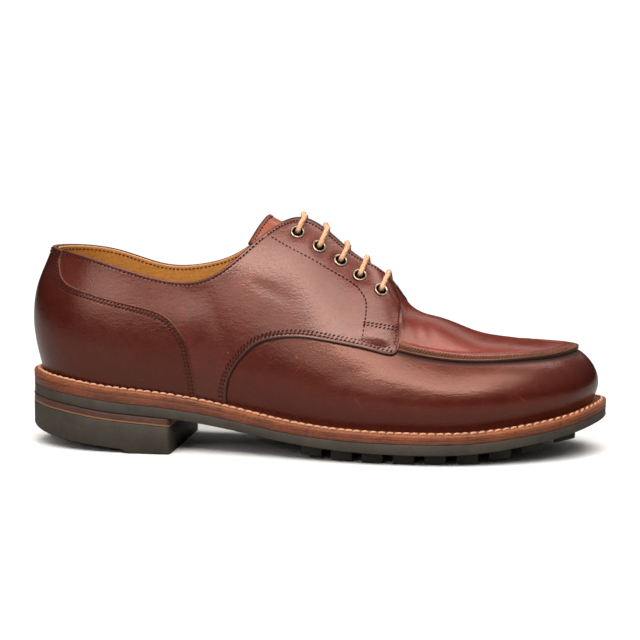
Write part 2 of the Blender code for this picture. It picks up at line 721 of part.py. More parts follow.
def eyelet_mesh():
    """Turned ring: a rolled flange over a short barrel."""
    low = -(QUARTER_THICK + PANEL_GAP + UPPER_WALL)
    profile = [
        (EYELET_BORE, EYELET_RISE), (EYELET_CROWN, EYELET_RISE + GAP), (EYELET_FLANGE, GAP + EYELET_LIP),
        (EYELET_FLANGE, GAP), (EYELET_BARREL, GAP), (EYELET_BARREL, low), (EYELET_BORE, low),
    ]
    mesh = bpy.data.meshes.new("eyelet")
    edges = [(k, (k + 1) % len(profile)) for k in range(len(profile))]
    mesh.from_pydata([Vector((r, 0.0, z)) * MM for r, z in profile], edges, [])
    return mesh


def placement(place):
    """Matrix that stands a piece on the facing, its Z axis along the outward direction."""
    turn = place.direction.to_track_quat("Z", "Y").to_matrix().to_4x4()
    return Matrix.Translation(place.centre * MM) @ turn


def hole_cutter(name, places, group):
    """Punches for one facing, long enough to pass through quarter and upper."""
    form = bmesh.new()
    for place in places:
        bmesh.ops.create_cone(form, cap_ends=True, segments=EYELET_SIDES, radius1=EYELET_HOLE * MM,
                              radius2=EYELET_HOLE * MM, depth=EYELET_PUNCH * MM, matrix=placement(place))
    mesh = bpy.data.meshes.new(name)
    form.to_mesh(mesh)
    form.free()
    cutter = bpy.data.objects.new(name, mesh)
    group.objects.link(cutter)
    cutter.hide_render = True
    cutter.display_type = "WIRE"
    return cutter


def lace_half(place):
    """Lace from above an eyelet up to the edge of the throat."""
    lift = LACE_RADIUS + EYELET_RISE + LACE_CLEARANCE
    rows = np.array([0.5 * (place.row + ROW_TOP), ROW_TOP])
    over = offset_surface(place.along, rows, PANEL_GAP + QUARTER_THICK + LACE_RADIUS + LACE_CLEARANCE)[0]
    return [np.array(place.centre + lift * place.direction), *over]


def lace_bar(name, lateral_place, medial_place, material, group):
    """Lace from one eyelet over the throat to the eyelet across from it."""
    near = lace_half(lateral_place)
    far = lace_half(medial_place)
    middle = 0.5 * (near[-1] + far[-1])
    middle[2] += LACE_ARCH
    route = np.array([*near, middle, *reversed(far)])
    points = spline(np.arange(len(route)), route, np.linspace(0.0, len(route) - 1, LACE_POINTS))
    curve = bpy.data.curves.new(name, "CURVE")
    curve.dimensions = "3D"
    curve.bevel_depth = LACE_RADIUS * MM
    curve.bevel_resolution = 2
    curve.use_fill_caps = True
    run = curve.splines.new("POLY")
    run.points.add(len(points) - 1)
    for target, point in zip(run.points, points):
        target.co = (*(point * MM), 1.0)
    item = bpy.data.objects.new(name, curve)
    curve.materials.append(material)
    group.objects.link(item)


def heel_bottom(x):
    return np.interp(x, [mark.x for mark in HEEL_BOTTOM], [mark.z for mark in HEEL_BOTTOM])


def build_sole(group, cutters, materials):
    add_object("welt", welt_mesh(), materials["welt_leather"], group)
    midsole = sole_slab("midsole", SOLE_REACH, lambda x: welt_top(x) - WELT_THICK - GAP, leather_bottom)
    add_object("midsole", midsole, materials["midsole_leather"], group)
    tread = sole_slab("outsole", SOLE_REACH, lambda x: leather_bottom(x) - GAP, rubber_bottom)
    outsole = add_object("outsole", tread, materials["sole_rubber"], group)
    lugs = bpy.data.objects.new("lug_blocks", lug_mesh())
    cutters.objects.link(lugs)
    lugs.hide_render = True
    lugs.display_type = "WIRE"
    boolean(outsole, lugs, "UNION")
    rand = sole_slab("heel_rand", HEEL_REACH, lambda x: rubber_bottom(x) - GAP,
                     lambda x: rubber_bottom(x) - RAND_THICK, HEEL_BREAST)
    add_object("heel_rand", rand, materials["heel_leather"], group)
    block = sole_slab("heel_block", HEEL_REACH, lambda x: rubber_bottom(x) - RAND_THICK - GAP,
                      heel_bottom, HEEL_BREAST)
    add_object("heel_block", block, materials["heel_rubber"], group)
    insole = sole_slab("insole", -(UPPER_WALL + INSOLE_CLEARANCE), lambda x: welt_top(x) + GAP + INSOLE_THICK,
                       lambda x: welt_top(x) + GAP)
    add_object("insole", insole, materials["insole_leather"], group)


def build_upper(group, cutters, materials):
    upper = add_object("upper", upper_mesh(), materials["upper_leather"], group)
    add_object("heel_counter", counter_mesh(), materials["counter_leather"], group)
    add_object("tongue", tongue_mesh(), materials["tongue_leather"], group)
    ring = eyelet_mesh()
    places = {}
    for side, lateral in (("lateral", True), ("medial", False)):
        name = "quarter_" + side
        quarter = add_object(name, quarter_mesh(name, lateral), materials["upper_leather"], group)
        places[side] = eyelet_places(lateral)
        punch = hole_cutter("eyelet_holes_" + side, places[side], cutters)
        boolean(quarter, punch, "DIFFERENCE")
        boolean(upper, punch, "DIFFERENCE")
        for k, place in enumerate(places[side], start=1):
            eyelet = add_object(f"eyelet_{side}_{k}", ring.copy(), materials["eyelet_brass"], group)
            eyelet.matrix_world = placement(place)
            turn = eyelet.modifiers.new("turn", "SCREW")
            turn.steps = turn.render_steps = EYELET_SIDES
            turn.use_merge_vertices = True
            turn.merge_threshold = 0.00001
    for k, (lateral_place, medial_place) in enumerate(zip(places["lateral"], places["medial"]), start=1):
        lace_bar(f"lace_bar_{k}", lateral_place, medial_place, materials["lace_cord"], group)


def main():
    clear_scene()
    group = make_collection(OBJECT_NAME)
    cutters = make_collection("cutters")
    materials = {name: make_material(name) for name in FINISHES}
    build_sole(group, cutters, materials)
    build_upper(group, cutters, materials)


main()
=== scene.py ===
"""Looks of the derby shoe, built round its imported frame.

Sizes are in millimetres until a mesh is made. +X points to the toe, -Y is the lateral side, +Z is up.
A place on the last is a pair (s, row): s runs from the back of the heel along the lateral side to the toe
and on along the medial side, negative s starts at the heel on the medial side, and rows 0 to 3 climb from
the feather edge over the belly and the shoulder to the top line.
"""

from collections import namedtuple
import math

import bmesh
import bpy
from mathutils import Matrix, Vector, noise
import numpy as np


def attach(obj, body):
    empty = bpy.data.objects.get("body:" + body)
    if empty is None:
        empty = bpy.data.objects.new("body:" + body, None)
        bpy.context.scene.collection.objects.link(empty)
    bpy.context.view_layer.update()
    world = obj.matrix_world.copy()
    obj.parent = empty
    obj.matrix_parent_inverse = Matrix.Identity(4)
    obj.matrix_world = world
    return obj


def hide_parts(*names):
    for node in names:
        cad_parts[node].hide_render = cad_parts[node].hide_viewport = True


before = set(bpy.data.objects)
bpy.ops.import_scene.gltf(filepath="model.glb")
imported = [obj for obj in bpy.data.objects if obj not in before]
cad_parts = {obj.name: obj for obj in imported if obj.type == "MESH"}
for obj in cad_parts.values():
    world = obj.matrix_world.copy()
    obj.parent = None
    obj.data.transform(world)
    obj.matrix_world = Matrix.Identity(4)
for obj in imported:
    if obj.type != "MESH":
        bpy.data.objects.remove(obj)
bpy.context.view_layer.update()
MM = 0.001
BODY = "root"

# Camera, fitted to the photograph's outline
CAMERA_YAW = 8.0
CAMERA_ELEVATION = 7.0
CAMERA_DISTANCE = 1050.0
CAMERA_TARGET = (2.4, 0.0, 67.0)
PIXELS_PER_MM = 1.894
IMAGE_SIDE = 640
SENSOR_WIDTH = 36.0

# Sizes shared with the part's source
GAP = 0.3
UPPER_WALL = 1.8
WELT_THICK = 3.0
RAND_THICK = 4.2
INSOLE_THICK = 2.5
SOLE_REACH = 7.2
HEEL_REACH = SOLE_REACH + 0.2
SIDE_SHIFT = 1.3

# The last, one row for each section from the back of the heel to the tip of the toe
Edge = namedtuple("Edge", "section x lateral medial")
FEATHER = [
    Edge("heel_back", -145.5, 0.0, 0.0),
    Edge("heel_corner", -136.5, 19.5, 19.5),
    Edge("heel_side", -115.0, 30.0, 29.5),
    Edge("heel_front", -85.0, 32.6, 30.3),
    Edge("waist_back", -58.0, 33.4, 28.0),
    Edge("waist", -32.0, 35.6, 27.0),
    Edge("instep", -6.0, 40.6, 31.0),
    Edge("facing", 19.0, 45.6, 38.3),
    Edge("throat", 40.0, 48.1, 43.6),
    Edge("vamp_point", 50.0, 48.6, 45.2),
    Edge("ball", 68.0, 48.4, 46.0),
    Edge("tread", 91.0, 44.2, 44.4),
    Edge("toe_box", 114.0, 35.0, 39.0),
    Edge("toe_corner", 133.5, 21.5, 28.5),
    Edge("toe_tip", 145.5, -4.5, 4.5),
]
Line = namedtuple("Line", "section x lateral medial lateral_z medial_z")
BELLY = [
    Line("heel_back", -150.2, 0.0, 0.0, 64.0, 64.0),
    Line("heel_corner", -140.3, 21.0, 21.0, 62.0, 62.0),
    Line("heel_side", -116.5, 31.8, 31.0, 57.0, 57.0),
    Line("heel_front", -86.0, 33.6, 31.6, 52.0, 52.0),
    Line("waist_back", -58.0, 33.8, 29.8, 47.0, 47.0),
    Line("waist", -32.0, 36.6, 29.8, 42.0, 43.0),
    Line("instep", -6.0, 42.4, 34.6, 36.0, 38.0),
    Line("facing", 19.0, 47.8, 41.6, 32.0, 34.0),
    Line("throat", 40.0, 50.6, 46.6, 30.0, 32.0),
    Line("vamp_point", 50.0, 51.0, 48.0, 29.5, 31.5),
    Line("ball", 68.0, 50.8, 48.8, 29.0, 31.0),
    Line("tread", 91.5, 46.8, 47.0, 29.5, 31.0),
    Line("toe_box", 115.5, 37.4, 41.4, 31.0, 32.5),
    Line("toe_corner", 135.8, 23.0, 30.2, 33.0, 34.0),
    Line("toe_tip", 148.4, -4.8, 4.8, 35.5, 35.5),
]
SHOULDER = [
    Line("heel_back", -147.2, 0.0, 0.0, 86.0, 86.0),
    Line("heel_corner", -138.0, 18.8, 18.8, 84.0, 84.0),
    Line("heel_side", -115.0, 29.0, 28.4, 79.0, 79.5),
    Line("heel_front", -86.0, 31.0, 29.4, 74.0, 75.0),
    Line("waist_back", -58.0, 31.8, 28.8, 71.5, 73.0),
    Line("waist", -32.0, 33.4, 29.2, 72.0, 74.0),
    Line("instep", -6.0, 35.4, 32.0, 72.0, 75.0),
    Line("facing", 19.0, 37.6, 35.6, 65.0, 68.0),
    Line("throat", 40.0, 38.8, 38.2, 58.0, 61.0),
    Line("vamp_point", 49.0, 38.8, 38.8, 55.5, 58.5),
    Line("ball", 65.5, 37.8, 39.0, 52.2, 55.0),
    Line("tread", 87.0, 35.6, 38.0, 50.6, 52.2),
    Line("toe_box", 109.0, 28.4, 32.6, 51.0, 51.9),
    Line("toe_corner", 126.0, 16.4, 23.0, 51.6, 52.4),
    Line("toe_tip", 137.4, -4.6, 4.6, 53.0, 53.0),
]
TopLine = namedtuple("TopLine", "section x lateral medial lateral_z medial_z lean")
TOP = [
    TopLine("heel_back", -139.6, 0.0, 0.0, 104.6, 104.6, 72.0),
    TopLine("heel_corner", -130.6, 15.4, 15.4, 103.4, 104.0, 76.0),
    TopLine("heel_side", -111.5, 24.0, 24.0, 99.4, 100.6, 80.0),
    TopLine("heel_front", -86.0, 27.4, 26.4, 92.2, 93.0, 82.0),
    TopLine("waist_back", -63.0, 27.8, 26.6, 89.0, 94.0, 80.0),
    TopLine("waist", -40.0, 25.6, 24.6, 99.4, 103.8, 66.0),
    TopLine("instep", -9.0, 9.4, 10.0, 120.4, 119.8, 45.0),
    TopLine("facing", 19.0, 7.8, 7.4, 103.6, 101.2, 42.0),
    TopLine("throat", 39.5, 7.0, 6.6, 89.4, 86.8, 30.0),
    TopLine("vamp_point", 48.0, -1.2, 1.2, 76.4, 76.4, 0.0),
    TopLine("ball", 64.0, -2.2, 2.2, 69.0, 69.0, 0.0),
    TopLine("tread", 84.0, -3.4, 3.4, 61.1, 61.1, 0.0),
    TopLine("toe_box", 101.0, -4.0, 4.0, 57.8, 57.8, 0.0),
    TopLine("toe_corner", 113.5, -4.3, 4.3, 56.4, 56.4, 0.0),
    TopLine("toe_tip", 121.0, -4.5, 4.5, 55.9, 55.9, 0.0),
]
INSTEP = [row.section for row in TOP].index("instep")
RIDGE_START = [row.section for row in TOP].index("vamp_point")
ROW_FEATHER, ROW_SHOULDER, ROW_TOP = 0.0, 2.0, 3.0
ROW_DROP = 10.0

# The sole seen from the side
Profile = namedtuple("Profile", "x welt_top leather rubber")
SOLE_PROFILE = [
    Profile(-153.0, 40.0, 7.2, 5.6),
    Profile(-130.0, 37.5, 7.2, 5.7),
    Profile(-105.0, 34.4, 7.2, 5.8),
    Profile(-73.0, 31.4, 7.0, 5.6),
    Profile(-45.0, 27.0, 6.6, 5.2),
    Profile(-20.0, 22.0, 6.0, 5.2),
    Profile(5.0, 18.4, 5.4, 5.3),
    Profile(30.0, 16.9, 5.2, 5.6),
    Profile(60.0, 16.5, 5.0, 5.8),
    Profile(85.0, 17.0, 5.0, 5.6),
    Profile(110.0, 19.6, 5.0, 5.2),
    Profile(135.0, 23.8, 4.9, 4.8),
    Profile(153.0, 28.4, 4.8, 4.6),
]
Mark = namedtuple("Mark", "x z")
HEEL_BREAST = -71.0
HEEL_BOTTOM = [
    Mark(-153.0, 10.2), Mark(-146.0, 8.4), Mark(-135.0, 6.2), Mark(-118.0, 4.0), Mark(-97.0, 2.0),
    Mark(-94.0, 0.0), Mark(-71.0, 0.0),
]
LUG_HEIGHT = 6.2
LUG_TAPER = 1.2
LUG_EDGE_INSET = 7.0
LUG_LENGTH = 11.0
LUG_PITCH = 16.0
LUG_FIRST_X = -2.0
LUG_ROWS = 9
LUG_SIDE_WIDTH = 19.0
LUG_CHANNEL = 5.5
LUG_SINK = 1.5
LUG_BEVEL = 0.7

# Edges and sewn lines of the panels, as marks in the side view
COUNTER_FRONT = Mark(-57.5, 30.5)
COUNTER_BOW = 1.7
COUNTER_BOW_REACH = 0.03
COUNTER_GIRTH = 330.0
COUNTER_HEAD_ROW = ROW_TOP - 0.012
COUNTER_TOP = [
    Mark(-62.8, 58.8), Mark(-68.1, 66.3), Mark(-75.8, 72.6), Mark(-87.5, 76.1), Mark(-105.9, 80.2),
    Mark(-119.3, 83.6), Mark(-124.6, 85.1), Mark(-128.6, 87.3), Mark(-131.0, 89.8), Mark(-132.2, 93.0),
    Mark(-132.9, 97.0), Mark(-132.4, 101.0), Mark(-131.9, 103.0),
]
VAMP_START = Mark(-54.0, 40.0)
QUARTER_LOW = [
    Mark(-41.6, 29.5), Mark(-40.9, 36.4), Mark(-38.6, 42.8), Mark(-33.9, 50.0), Mark(-27.6, 56.4),
    Mark(-20.4, 60.0), Mark(-12.0, 61.6), Mark(-3.0, 62.1), Mark(9.0, 60.9), Mark(23.2, 58.5),
    Mark(36.1, 55.8), Mark(42.8, 54.3), Mark(45.6, 54.4), Mark(47.2, 55.8), Mark(47.9, 58.4),
]
QUARTER_REAR = 72.0
FACING_LINE = [
    Mark(-20.8, 111.5), Mark(-13.7, 107.8), Mark(-5.3, 103.6), Mark(3.0, 99.2), Mark(10.4, 94.6),
    Mark(17.8, 90.3), Mark(23.6, 86.5), Mark(27.0, 82.8), Mark(29.0, 79.6), Mark(29.9, 75.1),
    Mark(29.8, 69.3), Mark(29.4, 64.2), Mark(29.1, 60.5),
]
BAR_LINES = [
    [Mark(28.6, 69.5), Mark(37.0, 67.4), Mark(45.6, 65.1)],
    [Mark(28.6, 68.2), Mark(37.0, 66.1), Mark(45.6, 63.8)],
]
EYELET_LINE = [Mark(-7.6, 113.7), Mark(36.9, 84.7)]
EYELETS_PER_SIDE = 5

# Heights of the layers over the last
VAMP_RISE = 0.0
QUARTER_RISE = 1.5
COUNTER_RISE = 2.4
APRON_RISE = 0.1
LINING_RISE = -0.5

# Meshes and finish of the panels
FOOT_ROW = -0.12
FAR = 1000.0
MERGE_DISTANCE = 0.00001
RIB_STEPS = 26
HIDDEN_RIBS = 26
STITCH_SIDES = 6
FINE_STEPS = np.array([0.0, 0.1, 0.3, 0.6, 1.0, 1.4, 1.8, 2.3, 2.8, 3.3, 4.0, 5.2])
LIP_STEPS = np.array([
    0.0, 0.1, 0.3, 0.5, 0.75, 1.0, 1.25, 1.5, 1.9, 2.4, 2.9, 3.4, 3.9, 4.2, 4.5, 5.0, 5.8, 7.0, 8.4,
])
GROOVE_DEPTH, GROOVE_WIDTH = 0.16, 0.4
RING_DEPTH, RING_WIDTH = 0.3, 1.5
PUNCH_DEPTH = 16.0
CALM_EDGE = 6.0
CUT_WIDTH = 0.7
BURNISH_REACH = 3.0
UNDER_LIFT = 0.85
# Reach of the painted shade low on the toe, and of the darkening towards the heel.
SHADE_TOE_X, SHADE_TOE_SPAN = 92.0, 55.0
DARK_HEEL_X, DARK_HEEL_SPAN = -95.0, 70.0
COUNTER_UNDER, QUARTER_UNDER, VAMP_UNDER, APRON_UNDER = 0.2, -0.4, -1.4, -0.3
COUNTER_GROOVES = (1.6, 3.3)
QUARTER_GROOVES = (2.2,)
LIP_FROM_X, LIP_FROM_SPAN = 45.0, 3.0
LIP_TOE_X, LIP_TOE_SPAN, LIP_TOE_GROWTH = 95.0, 35.0, 0.45
LIP_HEIGHT, LIP_CREST, LIP_WIDTH = 0.55, 0.65, 0.5
BED_HEIGHT, BED_END, BED_FALL = 1.15, 4.2, 4.0
CREVICE_DEPTH, CREVICE_PLACE, CREVICE_WIDTH = 0.28, 4.3, 0.6
CHANNEL_DEPTH, CHANNEL_START, CHANNEL_END = 0.3, 1.4, 3.9
GATHER_DEPTH, GATHER_COUNT, GATHER_DRIFT = 0.05, 43.0, 9.0
GATHER_X, GATHER_SPAN, GATHER_CENTRE_X = 84.0, 30.0, 92.0
GATHER_Z, GATHER_REACH = 52.0, 6.0


# Small helpers
def clip01(values):
    return np.clip(values, 0.0, 1.0)


def bell(distance, width):
    """Smooth hump of height 1."""
    return np.exp(-(distance / width) ** 2)


def bulge(part):
    """Rises from 0 at both ends to 1 half way."""
    return 4.0 * part * (1.0 - part)


def window(values, low, high, soft):
    """One between two values, fading to nothing beyond them."""
    return clip01((values - low) / soft + 0.5) * clip01((high - values) / soft + 0.5)


def normalized(vectors):
    return vectors / np.linalg.norm(vectors, axis=-1)[..., None]


def lengths(points):
    """Distance of each point along a line of points."""
    return np.concatenate([[0.0], np.cumsum(np.linalg.norm(np.diff(points, axis=0), axis=1))])


def read_along(at, run, values):
    """Vectors given at points along a run, read at other distances."""
    return np.stack([np.interp(at, run, values[:, k]) for k in range(values.shape[1])], axis=-1)


# The last's surface
def spline(knots, values, at):
    """Natural cubic spline through values at the knots, read at the given places."""
    knots = np.asarray(knots, float)
    values = np.asarray(values, float)
    count = len(knots)
    step = np.diff(knots)
    slope = np.diff(values, axis=0) / step.reshape(-1, *[1] * (values.ndim - 1))
    matrix = np.zeros((count, count))
    right = np.zeros_like(values)
    matrix[0, :2] = 2.0, 1.0
    matrix[-1, -2:] = 1.0, 2.0
    right[0] = 3.0 * slope[0]
    right[-1] = 3.0 * slope[-1]
    for k in range(1, count - 1):
        matrix[k, k - 1:k + 2] = step[k], 2.0 * (step[k - 1] + step[k]), step[k - 1]
        right[k] = 3.0 * (step[k] * slope[k - 1] + step[k - 1] * slope[k])
    tangent = np.linalg.solve(matrix, right.reshape(count, -1)).reshape(values.shape)
    at = np.asarray(at, float)
    k = np.clip(np.searchsorted(knots, at, side="right") - 1, 0, count - 2)
    return hermite(values[k], values[k + 1], tangent[k], tangent[k + 1], step[k], (at - knots[k]) / step[k])


def hermite(start, end, start_slope, end_slope, span, part):
    """Cubic between two values, part running from 0 to 1 over the span."""
    part = np.reshape(part, np.shape(part) + tuple([1] * (np.ndim(start) - np.ndim(part))))
    span = np.reshape(span, np.shape(span) + tuple([1] * (np.ndim(start) - np.ndim(span))))
    p2, p3 = part ** 2, part ** 3
    blend = (2 * p3 - 3 * p2 + 1) * start + (3 * p2 - 2 * p3) * end
    return blend + span * ((p3 - 2 * p2 + part) * start_slope + (p3 - p2) * end_slope)


def smooth_line(points, count):
    """Evenly spaced points of a smooth line through the given ones."""
    points = np.asarray(points, float)
    knots = lengths(points)
    return spline(knots, points, np.linspace(0.0, knots[-1], count))


def sole_height(x, column):
    return spline([row.x for row in SOLE_PROFILE], [getattr(row, column) for row in SOLE_PROFILE], x)


def welt_top(x):
    return sole_height(x, "welt_top")


def leather_bottom(x):
    return welt_top(x) - sole_height(x, "leather")


def rubber_bottom(x):
    return leather_bottom(x) - sole_height(x, "rubber")


def heel_bottom(x):
    return np.interp(x, [mark.x for mark in HEEL_BOTTOM], [mark.z for mark in HEEL_BOTTOM])


def section_points(table, lateral):
    """A line's points, one for each section, on one side of the last."""
    points = []
    for row in table:
        y = SIDE_SHIFT + (-row.lateral if lateral else row.medial)
        if table is FEATHER:
            z = float(welt_top(row.x)) + GAP
        else:
            z = row.lateral_z if lateral else row.medial_z
        points.append((row.x, y, z))
    return np.array(points)


# Distance of each section along the lateral feather edge
KNOTS = lengths(section_points(FEATHER, True))
TOE = KNOTS[-1]
RIDGE = KNOTS[RIDGE_START]
WRAP = 3


def side_line(table, along, lateral):
    """A line of the last, read along one side and on round the heel and the toe."""
    own = section_points(table, lateral)
    other = section_points(table, not lateral)
    knots = np.concatenate([-KNOTS[WRAP:0:-1], KNOTS, 2 * TOE - KNOTS[-2:-2 - WRAP:-1]])
    values = np.concatenate([other[WRAP:0:-1], own, other[-2:-2 - WRAP:-1]])
    return spline(knots, values, along)


def top_line(along, lateral):
    """Collar and throat edge, and past the throat the ridge that both sides share."""
    own = side_line(TOP, along, lateral)
    shared = 0.5 * (own + side_line(TOP, along, not lateral))
    return np.where((along >= RIDGE)[:, None], shared, own)


def top_direction(along, shoulder, top):
    """Unit direction in which the wall arrives at the top line."""
    level = top - shoulder
    level[:, 2] = 0.0
    level = normalized(level)
    lean = np.radians(spline(KNOTS, [row.lean for row in TOP], np.clip(along, 0.0, TOE)))
    ahead = top_line(np.minimum(along, TOE - 2.0) + 1.0, True)
    behind = top_line(np.minimum(along, TOE - 2.0) - 1.0, True)
    ridge_slope = (ahead[:, 2] - behind[:, 2]) / np.maximum(ahead[:, 0] - behind[:, 0], 0.01)
    rise = np.where(along >= RIDGE, ridge_slope * level[:, 0], np.tan(lean))
    return normalized(np.column_stack([level[:, :2], rise]))


def half_surface(along, row, lateral):
    """Points of one side's outer face, one for each place along it and its row."""
    lines = [side_line(table, along, lateral) for table in (FEATHER, BELLY, SHOULDER)]
    lines.append(top_line(along, lateral))
    points = np.stack(lines, axis=1)
    chord = np.linalg.norm(np.diff(points, axis=1), axis=2)
    count = len(along)
    matrix = np.zeros((count, 4, 4))
    right = np.zeros((count, 4, 3))
    slope = np.diff(points, axis=1) / chord[:, :, None]
    matrix[:, 0, 0] = 2.0
    matrix[:, 0, 1] = 1.0
    right[:, 0] = 3.0 * slope[:, 0]
    for k in (1, 2):
        matrix[:, k, k - 1] = chord[:, k]
        matrix[:, k, k] = 2.0 * (chord[:, k - 1] + chord[:, k])
        matrix[:, k, k + 1] = chord[:, k - 1]
        right[:, k] = 3.0 * (chord[:, k, None] * slope[:, k - 1] + chord[:, k - 1, None] * slope[:, k])
    matrix[:, 3, 3] = 1.0
    right[:, 3] = top_direction(along, points[:, 2], points[:, 3].copy())
    tangent = np.linalg.solve(matrix, right)
    index = np.arange(count)
    inside = np.clip(row, ROW_FEATHER, ROW_TOP)
    span = np.clip(np.floor(inside).astype(int), 0, 2)
    found = hermite(points[index, span], points[index, span + 1], tangent[index, span],
                    tangent[index, span + 1], chord[index, span], inside - span)
    found[:, 2] += ROW_DROP * np.minimum(row, 0.0)
    return found


def surface(s, row):
    """Points of the last's outer face at places (s, row); rows below 0 go straight down."""
    s, row = np.broadcast_arrays(np.asarray(s, float), np.asarray(row, float))
    place = s.ravel()
    place = np.where(place > TOE, place - 2 * TOE, place)
    found = np.zeros((len(place), 3))
    for lateral in (True, False):
        mine = (place >= 0.0) == lateral
        if mine.any():
            found[mine] = half_surface(np.abs(place[mine]), row.ravel()[mine], lateral)
    return found.reshape(*s.shape, 3)


def surface_steps(s, row):
    """How the outer face moves for a step of s and for a step of row."""
    forward, up = 0.4, 0.02
    run = (surface(s + forward, row) - surface(s - forward, row)) / (2 * forward)
    above = np.clip(row + up, up, ROW_TOP)
    below = np.maximum(above - 2 * up, 0.0)
    climb = surface(s, above) - surface(s, below)
    return run, climb / (above - below)[..., None]


def normal(s, row):
    """Unit normals that point out of the shoe."""
    run, climb = surface_steps(np.asarray(s, float), np.asarray(row, float))
    return normalized(np.cross(run, climb))


def points_at(places):
    return surface(places[..., 0], places[..., 1])


def normals_at(places):
    return normal(places[..., 0], places[..., 1])


def skin(s, row, height):
    """Points at a height over the last."""
    return surface(s, row) + np.asarray(height, float)[..., None] * normal(s, row)


def locate(marks, side):
    """Places (s, row) of side-view marks, on the lateral side (1) or the medial side (-1)."""
    target = np.array([(mark.x, mark.z) for mark in marks])
    s, row = np.meshgrid(np.linspace(1.0, TOE - 1.0, 220), np.linspace(0.0, ROW_TOP, 61), indexing="ij")
    s, row = s.ravel(), row.ravel()
    seen = surface(side * s, row)[:, [0, 2]]
    nearest = [int(np.argmin(np.sum((seen - point) ** 2, axis=1))) for point in target]
    place = np.column_stack([side * s[nearest], row[nearest]])
    for _ in range(6):
        run, climb = surface_steps(place[:, 0], place[:, 1])
        miss = target - points_at(place)[:, [0, 2]]
        matrix = np.stack([run[:, [0, 2]], climb[:, [0, 2]]], axis=2)
        step = np.linalg.solve(matrix, miss[:, :, None])[:, :, 0]
        place += np.clip(step, (-4.0, -0.2), (4.0, 0.2))
        place[:, 1] = np.clip(place[:, 1], 0.0, ROW_TOP)
    return place


def inset(path, distance):
    """A path of places moved sideways over the last, to the left of its run seen from outside."""
    run, climb = surface_steps(path[:, 0], path[:, 1])
    ahead = np.gradient(points_at(path), axis=0)
    left = normalized(np.cross(np.cross(run, climb), ahead))
    first = np.sum(run * run, axis=1)
    mixed = np.sum(run * climb, axis=1)
    second = np.sum(climb * climb, axis=1)
    a = np.sum(left * run, axis=1)
    b = np.sum(left * climb, axis=1)
    root = first * second - mixed ** 2
    move = np.column_stack([(a * second - b * mixed) / root, (b * first - a * mixed) / root])
    moved = path + distance * move
    moved[:, 1] = np.minimum(moved[:, 1], ROW_TOP)
    return moved


def smooth_places(places, count):
    """Evenly spaced places of a smooth line over the last through the given places."""
    places = np.asarray(places, float)
    knots = lengths(points_at(places))
    return spline(knots, places, np.linspace(0.0, knots[-1], count))


# Facings, eyelets and lace
LATERAL, MEDIAL = 1, -1
BOTH_SIDES = (LATERAL, MEDIAL)
SIDE_NAMES = {LATERAL: "lateral", MEDIAL: "medial"}
EYELET_BORE = 2.35
EYELET_FLANGE = 3.7
EYELET_HOLE = 2.9
EYELET_DEPTH = -3.4
EYELET_SIDES = 36
EYELET_PLAY = 0.8
EYELET_BACK = 0.65
EYELET_DOWN = 0.55
LACE_RADIUS = 1.4
LACE_STEP = 0.45
LACE_SIDES = 14
LACE_STRANDS = 4
LACE_TWIST = 5.0
LACE_RELIEF = 0.09
LACE_LEAN = 2.5
LACE_BACK = 0.5
LACE_DIP = 1.6
LACE_INSIDE = 3.2
LACE_SUNK = 5.6
LACE_FADE = 1.5
InsideRun = namedtuple("InsideRun", "side first second sag part")
INSIDE_RUNS = [
    InsideRun(MEDIAL, 1, 3, 0.0, 1.0),
    InsideRun(LATERAL, 3, 5, 0.0, 1.0),
    InsideRun(MEDIAL, 5, 4, 0.0, 1.0),
    InsideRun(LATERAL, 4, 2, 0.0, 1.0),
    InsideRun(MEDIAL, 2, 1, -0.12, 0.85),
]
EyeletPlace = namedtuple("EyeletPlace", "s row centre direction")
FLAP_LIFT = {LATERAL: 3.2, MEDIAL: 1.2}
FLAP_REACH = 17.0
FLAP_FOOT_Z, FLAP_FOOT_SOFT = 57.0, 9.0
FLAP_HEAD_Y, FLAP_HEAD_SOFT = 9.0, 11.0
FRONT_HEAD = RIDGE - 7.5
FRONT_BOW, FRONT_BOW_REACH = 0.9, 12.0
QUARTER_TOPS = (8.0, 88.0, FRONT_HEAD)


def front_edge(side):
    """Points of the facing's front edge, from its lower corner to the throat."""
    corner = locate(QUARTER_LOW[-1:], side)[0]
    head = np.array([side * FRONT_HEAD, ROW_TOP])
    part = np.linspace(0.0, 1.0, 40)[:, None]
    places = corner + (head - corner) * part
    places[:, :1] += side * FRONT_BOW * bulge(part)
    return points_at(places)


FRONT_EDGES = {side: front_edge(side) for side in BOTH_SIDES}


def flap_lift(points, side):
    """How far the stiff facing stands off the last near its front edge, less at its two ends."""
    edge = FRONT_EDGES[side]
    behind = np.interp(points[..., 2], edge[:, 2], edge[:, 0]) - points[..., 0]
    foot = clip01((points[..., 2] - FLAP_FOOT_Z) / FLAP_FOOT_SOFT)
    head = clip01((np.abs(points[..., 1] - SIDE_SHIFT) - FLAP_HEAD_Y) / FLAP_HEAD_SOFT)
    return FLAP_LIFT[side] * bell(behind, FLAP_REACH) * foot * head


def eyelet_places(side):
    """Place, centre and outward direction of each eyelet of one side, on the lifted facing."""
    first, last = EYELET_LINE
    part = np.linspace(0.0, 1.0, EYELETS_PER_SIDE)
    marks = [Mark(first.x + (last.x - first.x) * p, first.z + (last.z - first.z) * p) for p in part]
    lifts = flap_lift(points_at(locate(marks, side)), side)
    pairs = zip(marks, lifts)
    marks = [Mark(mark.x - EYELET_BACK * lift, mark.z - EYELET_DOWN * lift) for mark, lift in pairs]
    places = locate(marks, side)
    base, out = points_at(places), normals_at(places)
    centres = base + (QUARTER_RISE + flap_lift(base, side))[:, None] * out
    return [EyeletPlace(*place, *rest) for place, *rest in zip(places, centres, out)]


EYELETS = {side: eyelet_places(side) for side in BOTH_SIDES}
EYELET_CENTRES = [place.centre for places in EYELETS.values() for place in places]
